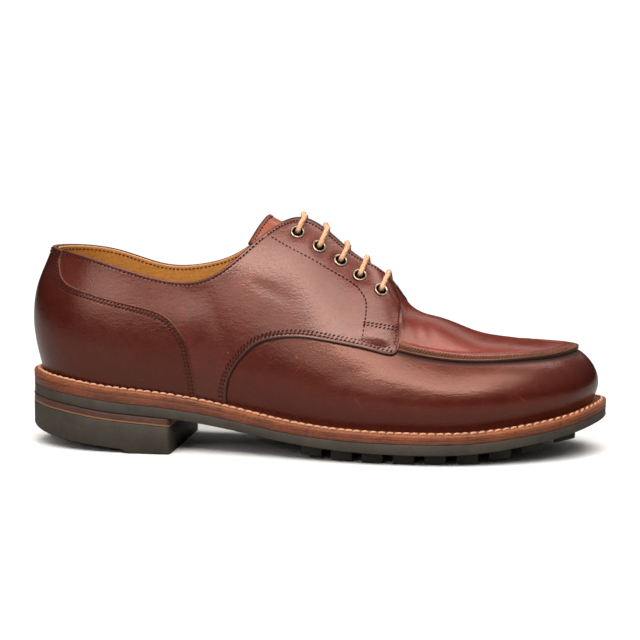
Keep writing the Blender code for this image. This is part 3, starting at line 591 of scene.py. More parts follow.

# Soft creases and folds of the leather: centre, direction, half length, half width, height
Crease = namedtuple("Crease", "x y z dx dy dz half_length half_width height")
CREASES = [
    Crease(57.0, -24.0, 64.0, 0.1, -0.8, -0.6, 14.0, 2.4, -0.35),
    Crease(63.0, -22.0, 62.0, 0.2, -0.8, -0.5, 12.0, 2.6, -0.25),
    Crease(60.0, 22.0, 64.0, 0.1, 0.8, -0.6, 14.0, 2.6, -0.30),
    Crease(-30.0, -31.0, 92.0, 0.7, 0.2, -0.6, 16.0, 3.0, -0.30),
    Crease(-22.0, -31.0, 88.0, 0.8, 0.1, -0.5, 18.0, 3.2, -0.28),
    Crease(-48.0, -31.0, 72.0, 0.3, 0.0, -0.9, 16.0, 3.6, -0.30),
    Crease(-30.0, 29.0, 92.0, 0.7, -0.2, -0.6, 16.0, 3.0, -0.30),
    Crease(-46.0, 29.0, 72.0, 0.3, 0.0, -0.9, 16.0, 3.6, -0.30),
    Crease(20.0, -46.0, 44.0, 0.9, 0.0, 0.3, 24.0, 4.0, -0.25),
    Crease(38.0, -37.0, 62.0, 0.96, 0.0, -0.25, 8.0, 2.6, 0.8),
    Crease(34.0, -38.5, 58.4, 0.96, 0.0, -0.25, 6.0, 1.5, -0.4),
]
Wave = namedtuple("Wave", "size height")
WAVES = [Wave(8.0, 0.05), Wave(17.0, 0.16), Wave(41.0, 0.2)]


def crease_height(points):
    """Sum of the listed creases at the given points."""
    total = np.zeros(points.shape[:-1])
    for crease in CREASES:
        away = points - np.array([crease.x, crease.y, crease.z])
        direction = normalized(np.array([crease.dx, crease.dy, crease.dz]))
        run = away @ direction
        off = np.linalg.norm(away - run[..., None] * direction, axis=-1)
        total += crease.height * bell(run, crease.half_length) * bell(off, crease.half_width)
    return total


def wave_height(points, wave):
    """Gentle uneven waves of the leather, the same on every run."""
    values = [noise.noise(Vector(point)) for point in points.reshape(-1, 3) / wave.size]
    return wave.height * np.array(values).reshape(points.shape[:-1])


# Meshes
def grid_faces(columns, rows, start=0):
    """Quads of a grid of vertices."""
    index = start + np.arange(columns * rows).reshape(columns, rows)
    quads = np.stack([index[:-1, :-1], index[1:, :-1], index[1:, 1:], index[:-1, 1:]], axis=-1)
    return quads.reshape(-1, 4).tolist()


def ring_faces(index):
    """Quads between neighbouring closed rings of vertex numbers."""
    after = np.roll(index, -1, axis=-1)
    corners = [index[..., :-1, :], index[..., 1:, :], after[..., 1:, :], after[..., :-1, :]]
    return np.stack(corners, axis=-1).reshape(-1, 4).tolist()


def border(columns, rows):
    """Vertex numbers round the edge of a grid, in order."""
    index = np.arange(columns * rows).reshape(columns, rows)
    return np.concatenate([index[:, 0], index[-1, 1:], index[-2::-1, -1], index[0, -2:0:-1]])


def place_mesh(mesh, material, sharp):
    """Object of a finished mesh that rides on the shoe, its edges sharp past an angle."""
    mesh.shade_smooth()
    mesh.set_sharp_from_angle(angle=math.radians(sharp))
    mesh.materials.append(material)
    item = bpy.data.objects.new(mesh.name, mesh)
    bpy.context.scene.collection.objects.link(item)
    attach(item, BODY)
    return item


def add_piece(name, points, faces, material, attributes=None, sharp=50.0):
    """Piece from points in millimetres; attributes are numbers for each vertex."""
    mesh = bpy.data.meshes.new(name)
    mesh.from_pydata((np.asarray(points) * MM).tolist(), [], faces)
    for key, values in (attributes or {}).items():
        layer = mesh.attributes.new(key, "FLOAT", "POINT")
        layer.data.foreach_set("value", np.asarray(values, np.float32))
    form = bmesh.new()
    form.from_mesh(mesh)
    bmesh.ops.remove_doubles(form, verts=form.verts, dist=MERGE_DISTANCE)
    bmesh.ops.recalc_face_normals(form, faces=form.faces)
    form.to_mesh(mesh)
    form.free()
    return place_mesh(mesh, material, sharp)


def slab(low, high, shared=None):
    """Points and faces of a closed solid between two grids; shared marks columns whose last rows meet."""
    columns, rows = low.shape[:2]
    shift = columns * rows
    points = np.concatenate([low.reshape(-1, 3), high.reshape(-1, 3)])
    faces = grid_faces(columns, rows) + grid_faces(columns, rows, shift)
    loop = border(columns, rows)
    after = np.roll(loop, -1)
    if shared is not None:
        meets = (loop % rows == rows - 1) & shared[loop // rows]
        inner = meets & np.roll(meets, -1)
        loop, after = loop[~inner], after[~inner]
    faces += np.column_stack([loop, after, shift + after, shift + loop]).tolist()
    return points, faces


def both_faces(values):
    """Vertex values for the lower and the upper grid of a slab."""
    return np.tile(values.ravel(), 2)


def level_places(s, row):
    """Places along one row."""
    return np.column_stack([s, np.full(len(s), row)])


def rib_places(foot, head, foot_steps, head_steps, between, bow=None):
    """Places on ribs from each foot to each head, with lines at set distances from both ends."""
    probe = foot[:, None] + (head - foot)[:, None] * np.linspace(0.0, 1.0, 9)[None, :, None]
    length = np.linalg.norm(np.diff(points_at(probe), axis=1), axis=2).sum(axis=1)[:, None]
    near = foot_steps / length
    far = 1.0 - head_steps[::-1] / length
    middle = near[:, -1:] + (far[:, :1] - near[:, -1:]) * np.linspace(0.0, 1.0, between + 2)[1:-1]
    part = np.concatenate([near, middle, far], axis=1)
    places = foot[:, None] + (head - foot)[:, None] * part[..., None]
    if bow is not None:
        places[..., 0] += bow[:, None] * bulge(part)
    return places, part * length, (1.0 - part) * length


def rounded(distance, radius):
    """Drop of a rounded edge at a distance from it."""
    part = 1.0 - clip01(distance / radius)
    return radius * (1.0 - np.sqrt(1.0 - part ** 2))


def panel(name, places, edges, rise, under, material, radius=0.7, profile=None, grooves=(),
          marks=None, lift=0.0, shared=None):
    """Leather panel over the last; edges holds each vertex's distance to each free edge."""
    base, out = points_at(places), normals_at(places)
    nearest = np.min(edges, axis=0)
    height = rise - rounded(nearest, radius)
    if profile is not None:
        height = height + profile(nearest, base)
    for distance in grooves:
        height = height - GROOVE_DEPTH * bell(nearest - distance, GROOVE_WIDTH)
    rings = ring_press_and_shade(base)
    relief = crease_height(base) + sum(wave_height(base, wave) for wave in WAVES)
    height = height + (1.0 - bell(nearest, CALM_EDGE)) * relief - RING_DEPTH * rings + lift
    floor = np.broadcast_to(under + UNDER_LIFT * lift, height.shape)
    if shared is not None:
        out[shared, -1] = normalized(out[shared, -1] + out[::-1][shared, -1])
    points, faces = slab(base + floor[..., None] * out, base + height[..., None] * out, shared)
    tints = {
        # Dyed cut edges; some panels widen this as painted shadow under their edges.
        "cut": clip01(1.0 - nearest / CUT_WIDTH),
        # Painted highlight along rounded edges, only where a panel asks for it.
        "rim": np.zeros(nearest.shape),
        "band": np.zeros(nearest.shape),
        # Burnished darkening near free edges, and painted shade in the dips round the eyelet rings.
        "edge_burnish_and_ring_shade": np.maximum(np.exp(-nearest / BURNISH_REACH), rings),
        # Painted shade at the foot of the walls and low on the toe, and a darker heel.
        "foot": low_shade_and_heel_dark(base, places[..., 1]),
    }
    tints.update(marks or {})
    attributes = {key: both_faces(values) for key, values in tints.items()}
    attributes["cut"][:nearest.size] = 1.0
    return add_piece(name, points, faces, material, attributes)


def ring_press_and_shade(points):
    """Share of the leather pressed down round the rings of the eyelets, also darkened there as painted
    shade.
    """
    total = np.zeros(points.shape[:-1])
    for centre in EYELET_CENTRES:
        away = np.linalg.norm(points - centre, axis=-1)
        total += bell(away - EYELET_FLANGE, RING_WIDTH)
    return clip01(total)


def low_shade_and_heel_dark(points, row):
    """How far the leather is darkened: painted shade at the foot of the walls and low on the toe, and
    darker towards the back of the heel.
    """
    low = clip01(1.0 - row / 2.0)
    toe = clip01((points[..., 0] - SHADE_TOE_X) / SHADE_TOE_SPAN) * clip01(2.4 - row)
    heel = clip01((DARK_HEEL_X - points[..., 0]) / DARK_HEEL_SPAN)
    return np.maximum(low, np.maximum(toe, heel))


def make_camera():
    """Camera of the photograph."""
    data = bpy.data.cameras.new("camera")
    data.sensor_width = SENSOR_WIDTH
    data.lens = SENSOR_WIDTH * PIXELS_PER_MM * CAMERA_DISTANCE / IMAGE_SIDE
    data.clip_start = 0.05
    data.clip_end = 50.0
    item = bpy.data.objects.new("camera", data)
    yaw, elevation = math.radians(CAMERA_YAW), math.radians(CAMERA_ELEVATION)
    level = math.cos(elevation)
    back = Vector((math.sin(yaw) * level, -math.cos(yaw) * level, math.sin(elevation)))
    item.location = (Vector(CAMERA_TARGET) + back * CAMERA_DISTANCE) * MM
    item.rotation_euler = (-back).to_track_quat("-Z", "Y").to_euler()
    bpy.context.scene.collection.objects.link(item)
    bpy.context.scene.camera = item


# Materials
BAND_COLOUR = "3e2210"
# Colour of the painted highlight along rounded panel edges.
PAINTED_EDGE_HIGHLIGHT = "94695a"
LINE_COLOUR = "c08a5c"
VAMP_TINT = (1.0, 0.56, 0.44, 1.0)
QUARTER_TINT = (1.0, 0.72, 0.62, 1.0)
Scuff = namedtuple("Scuff", "x y z tilt half_long half_wide colour")
SCUFF_DEPTH = 8.0
SCUFFS = [
    Scuff(-40.5, -33.7, 53.7, 0.5, 0.9, 0.5, "a8705c"),
    Scuff(-4.1, -39.8, 52.6, 0.2, 0.8, 0.4, "a8705c"),
    Scuff(-2.8, -41.0, 47.2, -0.9, 4.6, 0.5, "8c2c20"),
    Scuff(28.2, -48.0, 31.6, 0.9, 4.2, 0.3, "8a4c3c"),
    Scuff(110.2, -38.4, 33.7, 0.6, 3.6, 0.3, "8a4c3c"),
]


def colour_of(text):
    """Linear colour of a hexadecimal one."""
    parts = [int(text[k:k + 2], 16) / 255.0 for k in (0, 2, 4)]
    return tuple(p / 12.92 if p <= 0.04045 else ((p + 0.055) / 1.055) ** 2.4 for p in parts) + (1.0,)


class Nodes:
    """Adds and links the nodes of a material or the world; hexadecimal text stands for a colour."""

    def __init__(self, tree):
        self.tree = tree

    def fill(self, item, values):
        """Sets or links a node's inputs by name or number."""
        for key, value in values.items():
            if isinstance(value, bpy.types.NodeSocket):
                self.tree.links.new(value, item.inputs[key])
            else:
                item.inputs[key].default_value = colour_of(value) if isinstance(value, str) else value

    def put(self, kind, values=None, **settings):
        """New node with its properties and inputs set."""
        item = self.tree.nodes.new("ShaderNode" + kind)
        for key, value in settings.items():
            setattr(item, key, value)
        self.fill(item, values or {})
        return item

    def dress(self, **values):
        """Sets inputs of the material's own shader; underscores stand for the spaces in their names."""
        shader = self.tree.nodes["Principled BSDF"]
        self.fill(shader, {key.replace("_", " "): value for key, value in values.items()})
        return shader

    def show(self, shader, output):
        """Links a shader to the material's or the world's output node."""
        self.tree.links.new(shader.outputs[0], self.tree.nodes[output].inputs["Surface"])

    def math(self, operation, first, second):
        return self.put("Math", {0: first, 1: second}, operation=operation).outputs[0]

    def add(self, first, second):
        return self.math("ADD", first, second)

    def times(self, first, second):
        return self.math("MULTIPLY", first, second)

    def spread(self, value, low, high, to_low=0.0, to_high=1.0):
        """A value's range laid over another one."""
        values = {"Value": value, "From Min": low, "From Max": high, "To Min": to_low, "To Max": to_high}
        return self.put("MapRange", values).outputs["Result"]

    def mix(self, factor, first, second):
        return self.put("Mix", {0: factor, 6: first, 7: second}, data_type="RGBA").outputs[2]

    def mix_shaders(self, factor, first, second):
        return self.put("MixShader", {0: factor, 1: first.outputs[0], 2: second.outputs[0]})

    def noise(self, coords, scale, detail=2.0, rough=0.5):
        values = {"Vector": coords, "Scale": scale, "Detail": detail, "Roughness": rough}
        return self.put("TexNoise", values).outputs["Fac"]

    def stretched(self, coords, scale, turn=(0.0, 0.0, 0.0)):
        return self.put("Mapping", {"Vector": coords, "Rotation": turn, "Scale": scale}).outputs["Vector"]

    def length(self, vector):
        return self.put("VectorMath", {0: vector}, operation="LENGTH").outputs["Value"]

    def attribute(self, name):
        return self.put("Attribute", attribute_name=name).outputs["Fac"]

    def ramp(self, factor, *colours):
        """Colours spaced evenly over a factor from 0 to 1."""
        item = self.put("ValToRGB", {"Fac": factor})
        elements = item.color_ramp.elements
        elements[0].color = colour_of(colours[0])
        elements[1].color = colour_of(colours[-1])
        for k, colour in enumerate(colours[1:-1], start=1):
            elements.new(k / (len(colours) - 1)).color = colour_of(colour)
        return item.outputs["Color"]

    def bump(self, strength, depth, height):
        values = {"Strength": strength, "Distance": depth * MM, "Height": height}
        return self.put("Bump", values).outputs["Normal"]


def new_material(name):
    """Material, its nodes and the coordinates of the object that has it."""
    material = bpy.data.materials.new(name)
    material.use_nodes = True
    nodes = Nodes(material.node_tree)
    return material, nodes, nodes.put("TexCoord").outputs["Object"]


def scuff_share(nodes, coords, scuff):
    """Share of a short scuff in the leather's colour, at a listed place."""
    values = {
        "Vector": coords,
        "Location": [value * MM for value in (scuff.x, scuff.y, scuff.z)],
        "Rotation": (0.0, scuff.tilt, 0.0),
        "Scale": [value * MM for value in (scuff.half_long, SCUFF_DEPTH, scuff.half_wide)],
    }
    away = nodes.length(nodes.put("Mapping", values, vector_type="TEXTURE").outputs["Vector"])
    worn = nodes.noise(coords, 1500.0, 2.0, 0.6)
    return nodes.times(nodes.spread(away, 0.3, 1.0, 1.0, 0.0), nodes.spread(worn, 0.35, 0.6, 0.2, 0.9))


def leather(name, dark, middle, light, edge_and_shade_colour, gloss=0.23, tint=VAMP_TINT):
    """Waxed leather: cloudy colour, darker burnished edges, painted shade at the feet, round the eyelets
    and under the apron's lip, painted highlights on rounded edges, with fine grain, creases and light
    scuffs.
    """
    material, nodes, coords = new_material(name)
    cloud = nodes.noise(coords, 22.0, 3.0, 0.55)
    mottle = nodes.noise(coords, 160.0, 5.0, 0.65)
    blend = nodes.add(nodes.spread(cloud, 0.25, 0.75, 0.1, 0.55), nodes.spread(mottle, 0.3, 0.7, 0.0, 0.35))
    scratch_space = nodes.stretched(coords, (40.0, 40.0, 700.0), (0.4, 0.3, 0.0))
    scratch = nodes.spread(nodes.noise(scratch_space, 1.0, 3.0, 0.7), 0.66, 0.8, 0.0, 0.35)
    colour = nodes.mix(scratch, nodes.ramp(blend, dark, middle, light), light)
    for scuff in SCUFFS:
        colour = nodes.mix(scuff_share(nodes, coords, scuff), colour, scuff.colour)
    # Colour overlays: burnished edges with painted shade round the eyelets, painted shade low on the walls,
    # the sewn band, painted edge highlight, and dyed edges widened as painted shadow.
    stains_and_shades = [("edge_burnish_and_ring_shade", 0.45, dark), ("foot", 0.92, dark), ("band", 1.0, BAND_COLOUR),
              ("rim", 1.0, PAINTED_EDGE_HIGHLIGHT), ("cut", 1.0, edge_and_shade_colour)]
    for key, most, overlay_colour in stains_and_shades:
        colour = nodes.mix(nodes.spread(nodes.attribute(key), 0.0, 1.0, 0.0, most), colour, overlay_colour)
    pores = nodes.put("TexVoronoi", {"Vector": coords, "Scale": 1500.0}).outputs["Distance"]
    fine = nodes.noise(coords, 900.0, 3.0, 0.6)
    wrinkle_space = nodes.stretched(coords, (260.0, 260.0, 620.0), (0.0, 0.35, 0.0))
    wrinkle = nodes.noise(wrinkle_space, 1.0, 4.0, 0.6)
    grain = nodes.add(nodes.times(pores, 0.35), nodes.times(fine, 0.5))
    relief = nodes.add(grain, nodes.times(wrinkle, 0.9))
    rough = nodes.add(nodes.spread(mottle, 0.3, 0.7, gloss - 0.02, gloss + 0.03), nodes.times(scratch, 0.4))
    worn = nodes.math("MAXIMUM", nodes.attribute("band"), nodes.attribute("cut"))
    rough = nodes.add(rough, nodes.times(worn, 0.4))
    nodes.dress(Base_Color=colour, Roughness=rough, Normal=nodes.bump(0.3, 0.4, relief), Coat_Weight=0.04,
                Coat_Roughness=0.18, Specular_IOR_Level=0.7, Specular_Tint=tint)
    return material


def plain_leather(name, dark, light, scale, rough, layers=False, pale=0.0):
    """Undyed or edge-finished leather: fibres, and layer lines along the edge where asked for."""
    material, nodes, coords = new_material(name)
    cloud = nodes.noise(coords, scale * 0.2, 4.0, 0.6)
    fibre_space = nodes.stretched(coords, (scale * 0.5, scale * 0.5, scale * 5.0))
    fibre = nodes.noise(fibre_space, 1.0, 5.0, 0.65)
    blend = nodes.add(nodes.times(cloud, 0.5), nodes.times(fibre, 0.5))
    speck = nodes.noise(coords, scale * 2.0, 4.0, 0.7)
    colour = nodes.ramp(nodes.spread(blend, 0.32, 0.68), dark, light)
    colour = nodes.mix(nodes.spread(speck, 0.48, 0.66, 0.0, 0.75), colour, dark)
    colour = nodes.mix(nodes.spread(nodes.attribute("line"), 0.5, 1.0, 0.0, pale), colour, LINE_COLOUR)
    height = nodes.add(fibre, speck) if layers else speck
    nodes.dress(Base_Color=colour, Roughness=nodes.spread(cloud, 0.3, 0.7, rough - 0.08, rough + 0.1),
                Normal=nodes.bump(0.6, 0.4, height))
    return material


def rubber(name, dark, light):
    """Dull rubber with a little dust."""
    material, nodes, coords = new_material(name)
    cloud = nodes.noise(coords, 60.0, 5.0, 0.65)
    dust = nodes.noise(coords, 900.0, 3.0, 0.6)
    nodes.dress(Base_Color=nodes.ramp(nodes.spread(cloud, 0.3, 0.7), dark, light),
                Roughness=nodes.spread(dust, 0.3, 0.7, 0.55, 0.75), Normal=nodes.bump(0.25, 0.2, dust))
    return material


def thread(name, dark, light, rough=0.6):
    """Twisted thread or cord, with painted shade where it runs into a hole."""
    material, nodes, coords = new_material(name)
    twist = nodes.noise(coords, 2200.0, 3.0, 0.6)
    colour = nodes.ramp(nodes.spread(twist, 0.3, 0.7), dark, light)
    nodes.dress(Base_Color=nodes.mix(nodes.attribute("hole_shade"), colour, "2c1a0e"), Roughness=rough,
                Specular_IOR_Level=0.15, Normal=nodes.bump(0.4, 0.2, twist))
    return material


def metal(name, dark, light):
    """Tarnished metal, with painted shade inside the bore."""
    material, nodes, coords = new_material(name)
    tarnish = nodes.noise(coords, 700.0, 4.0, 0.6)
    colour = nodes.ramp(nodes.spread(tarnish, 0.3, 0.7), dark, light)
    nodes.dress(Base_Color=nodes.mix(nodes.attribute("hole_shade"), colour, "120c08"), Metallic=1.0,
                Roughness=nodes.spread(tarnish, 0.3, 0.7, 0.22, 0.42))
    return material


def make_materials():
    """All materials of the shoe."""
    return {
        # The vamp's darkest colour is the painted shadow under the apron's lip.
        "vamp": leather("vamp_leather", "360d07", "52190f", "68281a", "120604"),
        # Dark edge colours of apron and quarter, also serving as painted shadow under their edges.
        "apron": leather("apron_leather", "52170d", "742618", "8a3825", "24100a"),
        "quarter": leather("quarter_leather", "3a0f08", "5a1e13", "702d1f", "240e08", tint=QUARTER_TINT),
        "counter": leather("counter_leather", "360e08", "49170e", "592215", "5e3a28"),
        "tongue": leather("tongue_leather", "642618", "86402c", "9a5238", "3a1a12", gloss=0.4),
        "seam": plain_leather("seam_leather", "3c1c0e", "8a5428", 900.0, 0.75),
        "lining": plain_leather("lining_leather", "a86c2c", "cc8e42", 260.0, 0.5, pale=0.75),
        "insole": plain_leather("insole_leather", "94622c", "bb8848", 220.0, 0.6),
        "welt": plain_leather("welt_leather", "56260f", "aa5c30", 420.0, 0.45, layers=True),
        "midsole": plain_leather("midsole_leather", "461c0c", "864423", 420.0, 0.45, layers=True),
        "rand": plain_leather("rand_leather", "361c15", "5a3526", 420.0, 0.5, layers=True, pale=0.7),
        "outsole": rubber("outsole_rubber", "2a251d", "443b31"),
        "lug": rubber("lug_rubber", "1c1813", "2c261f"),
        "heel": rubber("heel_rubber", "2a231b", "40382c"),
        "dark_thread": thread("dark_thread", "2a0e09", "461a13"),
        "red_thread": thread("red_thread", "3e140d", "62261b"),
        "lining_thread": thread("lining_thread", "4a2410", "74401e"),
        "welt_thread": thread("welt_thread", "b48468", "e0b494"),
        "lace": thread("lace_cord", "a87452", "f0c09c", 0.65),
        "eyelet": metal("eyelet_metal", "7c6e5c", "d2c4aa"),
    }


# Panels of the upper
def counter_panel(material):
    """Counter round the heel, its ribs running up from the feather edge; gives its sewn outline."""
    lateral, medial = [smooth_places(locate(COUNTER_TOP, side), 120) for side in BOTH_SIDES]
    first, last = lateral[-1], medial[-1]
    tab = first + (last - first) * np.linspace(0.0, 1.0, 24)[1:-1, None]
    tab[:, 1] = COUNTER_HEAD_ROW
    head = np.concatenate([lateral, tab, medial[::-1]])
    head[:, 1] = np.minimum(head[:, 1], COUNTER_HEAD_ROW)
    run = lengths(points_at(head))
    part = run / run[-1]
    start, end = [locate([COUNTER_FRONT], side)[0, 0] for side in BOTH_SIDES]
    foot = level_places(start + (end - start) * part, FOOT_ROW)
    middle = np.linspace(FINE_STEPS[-1], COUNTER_GIRTH - FINE_STEPS[-1], len(head))[1:-1]
    span = np.concatenate([FINE_STEPS, middle, COUNTER_GIRTH - FINE_STEPS[::-1]])
    share = span / COUNTER_GIRTH
    foot, head = [read_along(share, part, line) for line in (foot, head)]
    bow = COUNTER_BOW * (np.exp(-share / COUNTER_BOW_REACH) - np.exp(-(1.0 - share) / COUNTER_BOW_REACH))
    places, _, from_head = rib_places(foot, head, np.array([0.0, 2.0]), FINE_STEPS, RIB_STEPS, bow)
    from_start = np.broadcast_to(span[:, None], from_head.shape)
    edges = [from_head, from_start, COUNTER_GIRTH - from_start]
    item = panel("heel_counter_panel", places, edges, COUNTER_RISE, COUNTER_UNDER, material,
                 grooves=COUNTER_GROOVES)
    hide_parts("heel_counter")
    return np.concatenate([places[0, :-1], head, places[-1, -2::-1]])


def vamp_panel(material):
    """Wall of the forepart from the feather edge up to the apron's seam, on under both quarters."""
    start = float(locate([VAMP_START], LATERAL)[0, 0])
    s = np.linspace(start, 2 * TOE - start, 300)
    foot = level_places(s, FOOT_ROW)
    head = level_places(s, ROW_SHOULDER + 0.06)
    places, _, from_head = rib_places(foot, head, np.array([0.0, 1.2, 2.4]), FINE_STEPS, RIB_STEPS)
    no_edge = [np.full(from_head.shape, FAR)]
    # The dark edge colour along the top of the wall is painted shadow under the apron's lip.
    item = panel("vamp_wall", places, no_edge, VAMP_RISE, VAMP_UNDER, material,
                 profile=wall_profile, marks={"cut": clip01(1.0 - (from_head - 2.0) / 1.4)})
    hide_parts("upper")


def lip_growth(x):
    """The apron's lip grows towards the toe and is flat under the quarters."""
    toe = clip01((x - LIP_TOE_X) / LIP_TOE_SPAN)
    return clip01((x - LIP_FROM_X) / LIP_FROM_SPAN) * (1.0 + LIP_TOE_GROWTH * toe)


def lip_profile(distance, points):
    """Rolled edge of the apron, higher at the toe, with the sewn channel inside it."""
    lip = LIP_HEIGHT * bell(distance - LIP_CREST, LIP_WIDTH)
    fall = clip01((distance - BED_END) / BED_FALL)
    bed = BED_HEIGHT * (1.0 - fall * fall * (3.0 - 2.0 * fall))
    crevice = CREVICE_DEPTH * bell(distance - CREVICE_PLACE, CREVICE_WIDTH)
    channel = CHANNEL_DEPTH * window(distance, CHANNEL_START, CHANNEL_END, 0.4)
    return lip_growth(points[..., 0]) * (lip + bed) - (crevice + channel)


def wall_profile(_, points):
    """Small gathers of the vamp's wall below the seam at the toe."""
    toe = clip01((points[..., 0] - GATHER_X) / GATHER_SPAN)
    around = np.arctan2(points[..., 1] - SIDE_SHIFT, points[..., 0] - GATHER_CENTRE_X)
    gathers = np.sin(around * GATHER_COUNT + 2.0 * np.sin(around * GATHER_DRIFT))
    return GATHER_DEPTH * toe * gathers * bell(points[..., 2] - GATHER_Z, GATHER_REACH)


def apron_panel(material):
    """Apron on top of the forepart, both halves meeting at the ridge; gives its seam."""
    start = RIDGE - 10.0
    s = np.linspace(start, 2 * TOE - start, 260)
    foot = level_places(s, ROW_SHOULDER)
    places, from_foot, _ = rib_places(foot, level_places(s, ROW_TOP), LIP_STEPS, np.array([0.0]), 20)
    marks = {
        "band": window(from_foot, 0.9, 4.2, 0.5),
        # Painted highlight along the crest of the lip.
        "rim": 0.35 * window(from_foot, 0.4, 0.8, 0.3),
        # Dyed side of the lip, widened onto its face as painted shadow under the lip.
        "cut": window(from_foot, -1.0, 0.4, 0.2),
    }
    panel("apron_panel", places, [from_foot], APRON_RISE, APRON_UNDER, material,
          radius=0.8, profile=lip_profile, marks=marks, shared=np.abs(s - TOE) <= TOE - RIDGE)
    return foot


Quarter = namedtuple("Quarter", "low front top item")


def quarter_panel(side, material):
    """Quarter from the collar and throat down to its sewn lower edge, on under the counter."""
    marks = locate(QUARTER_LOW, side)
    knots = lengths(points_at(marks))
    total = knots[-1]
    steps = np.concatenate([np.linspace(0.0, total - 2.0, 150), total - FINE_STEPS[4::-1]])
    low = spline(knots, marks, steps)
    hidden = np.linspace(side * QUARTER_REAR, low[0, 0], HIDDEN_RIBS)[:-1]
    foot = np.concatenate([level_places(hidden, low[0, 1]), low])
    foot[:HIDDEN_RIBS, 1] = FOOT_ROW
    run = lengths(points_at(foot))
    tops = np.interp(run, [0.0, run[len(hidden)], run[-1]], QUARTER_TOPS)
    head = level_places(side * tops, ROW_TOP)
    bow = side * FRONT_BOW * np.exp(-(run[-1] - run) / FRONT_BOW_REACH)
    places, from_foot, from_head = rib_places(foot, head, FINE_STEPS, FINE_STEPS, RIB_STEPS, bow)
    base = points_at(places)
    from_front = np.linalg.norm(base - base[-1:], axis=-1)
    foot_edge = np.where(np.arange(len(foot))[:, None] < HIDDEN_RIBS, FAR, from_foot)
    # Dyed edges; along the lower edge the dark band is widened as painted shadow under it.
    cuts = [clip01((1.35 - foot_edge) / 0.5), 0.8 * clip01(1.0 - from_head / CUT_WIDTH),
            window(from_front, -1.0, 0.25, 0.2)]
    # Painted highlight along the rounded front edge.
    rim = 0.6 * window(from_front, 0.35, 0.8, 0.3) * clip01(foot_edge - 0.5)
    edges = [foot_edge, from_head, from_front]
    item = panel("quarter_panel_" + SIDE_NAMES[side], places, edges, QUARTER_RISE, QUARTER_UNDER, material,
                 grooves=QUARTER_GROOVES, lift=flap_lift(base, side),
                 marks={"cut": np.max(cuts, axis=0), "rim": rim})
    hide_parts("quarter_" + SIDE_NAMES[side])
    top = level_places(side * np.linspace(20.0, FRONT_HEAD, 160), ROW_TOP)
    return Quarter(low, places[-1], top, item)


def lining_shell(material):
    """Lining inside the quarters, all round the heel, with a rounded top edge."""
    s = np.linspace(-(RIDGE - 1.0), RIDGE - 1.0, 260)
    foot, head = level_places(s, 0.02), level_places(s, ROW_TOP - 0.01)
    places, _, from_head = rib_places(foot, head, np.array([0.0]), FINE_STEPS[:6], 24)
    base, out = points_at(places), normals_at(places)
    drop = 0.5 * rounded(from_head, 0.6)
    inner = base + (drop - UPPER_WALL)[..., None] * out
    outer = base + (LINING_RISE - drop)[..., None] * out
    points, faces = slab(inner, outer)
    line = both_faces(clip01(1.6 - from_head / 0.8))
    return add_piece("lining_shell", points, faces, material, {"line": line})


# Sewing
Stitch = namedtuple("Stitch", "pitch length radius lift sink slant", defaults=(0.38, 0.16, 0.25, 0.0))
COUNTER_STITCH = Stitch(2.0, 1.5, 0.44, slant=0.35)
LOW_STITCH = Stitch(2.2, 1.6, 0.46, slant=0.4)
SECOND_STITCH = Stitch(2.2, 1.6, 0.5, slant=0.45)
FRONT_STITCH = Stitch(1.6, 0.9, 0.42)
COLLAR_STITCH = Stitch(2.2, 1.7)
THROAT_STITCH = Stitch(1.7, 1.25, 0.36)
FACING_STITCH = Stitch(2.2, 1.8)
BAR_STITCH = Stitch(1.9, 1.5, 0.45, slant=0.35)
APRON_STITCH = Stitch(1.6, 1.9, 0.5, 0.3, slant=1.2)
LINING_STITCH = Stitch(2.2, 1.8, 0.36, 0.15)
TONGUE_STITCH = Stitch(1.9, 1.5, 0.36, 0.2)
WELT_STITCH = Stitch(4.2, 4.074, 0.66, 0.12, 0.4, 0.55)
COUNTER_ROWS = (1.6, 3.2)
COLLAR_END = 106


def stitches(points, normals, stitch, turn=1):
    """Thread stitches along a line of points: points and faces of small beads that dip at both ends."""
    run = lengths(points)
    count = max(1, int(run[-1] // stitch.pitch))
    uneven = np.random.default_rng(count).uniform(-1.0, 1.0, (3, count))
    centre = (np.arange(count) + 0.5 + 0.06 * uneven[0]) * run[-1] / count
    part = np.array([-1.0, -0.6, 0.0, 0.6, 1.0])
    at = centre[:, None] + part * 0.5 * stitch.length
    out = read_along(at, run, normals)
    across = np.cross(out, normalized(read_along(at, run, np.gradient(points, axis=0))))
    height = stitch.lift * (1 - part ** 2) - stitch.sink * part ** 2
    aside = (1.0 + 0.2 * uneven[1])[:, None] * turn * stitch.slant * part
    place = read_along(at, run, points) + height[None, :, None] * out + aside[..., None] * across
    size = (1.0 + 0.08 * uneven[2])[:, None] * stitch.radius * np.sqrt(1.0 - 0.85 * part ** 4)
    angle = np.linspace(0.0, 2 * math.pi, STITCH_SIDES, endpoint=False)[:, None]
    round_it = np.cos(angle) * across[:, :, None] + np.sin(angle) * out[:, :, None]
    vertices = (place[:, :, None] + size[:, :, None, None] * round_it).reshape(-1, 3)
    index = np.arange(len(vertices)).reshape(count, len(part), STITCH_SIDES)
    return vertices, ring_faces(index) + index[:, 0].tolist() + index[:, -1].tolist()


def sew(name, rows, material):
    """One mesh of all the stitches in several rows."""
    points, faces = [], []
    count = 0
    for vertices, polygons in rows:
        points.append(vertices)
        faces += [[corner + count for corner in polygon] for polygon in polygons]
        count += len(vertices)
    return add_piece(name, np.concatenate(points), faces, material, sharp=80.0)


def sewn_row(path, rise, stitch, turn=1, flap=0):
    """Stitches along a path of places on the last, or on the facing of the side named by flap."""
    fine = smooth_places(path, 4 * len(path))
    old = np.linspace(0.0, 1.0, len(path))
    height = np.interp(np.linspace(0.0, 1.0, len(fine)), old, np.broadcast_to(rise, len(path)))
    if flap:
        height = height + flap_lift(points_at(fine), flap)
    points = skin(fine[:, 0], fine[:, 1], height)
    return stitches(points, normals_at(fine), stitch, turn)


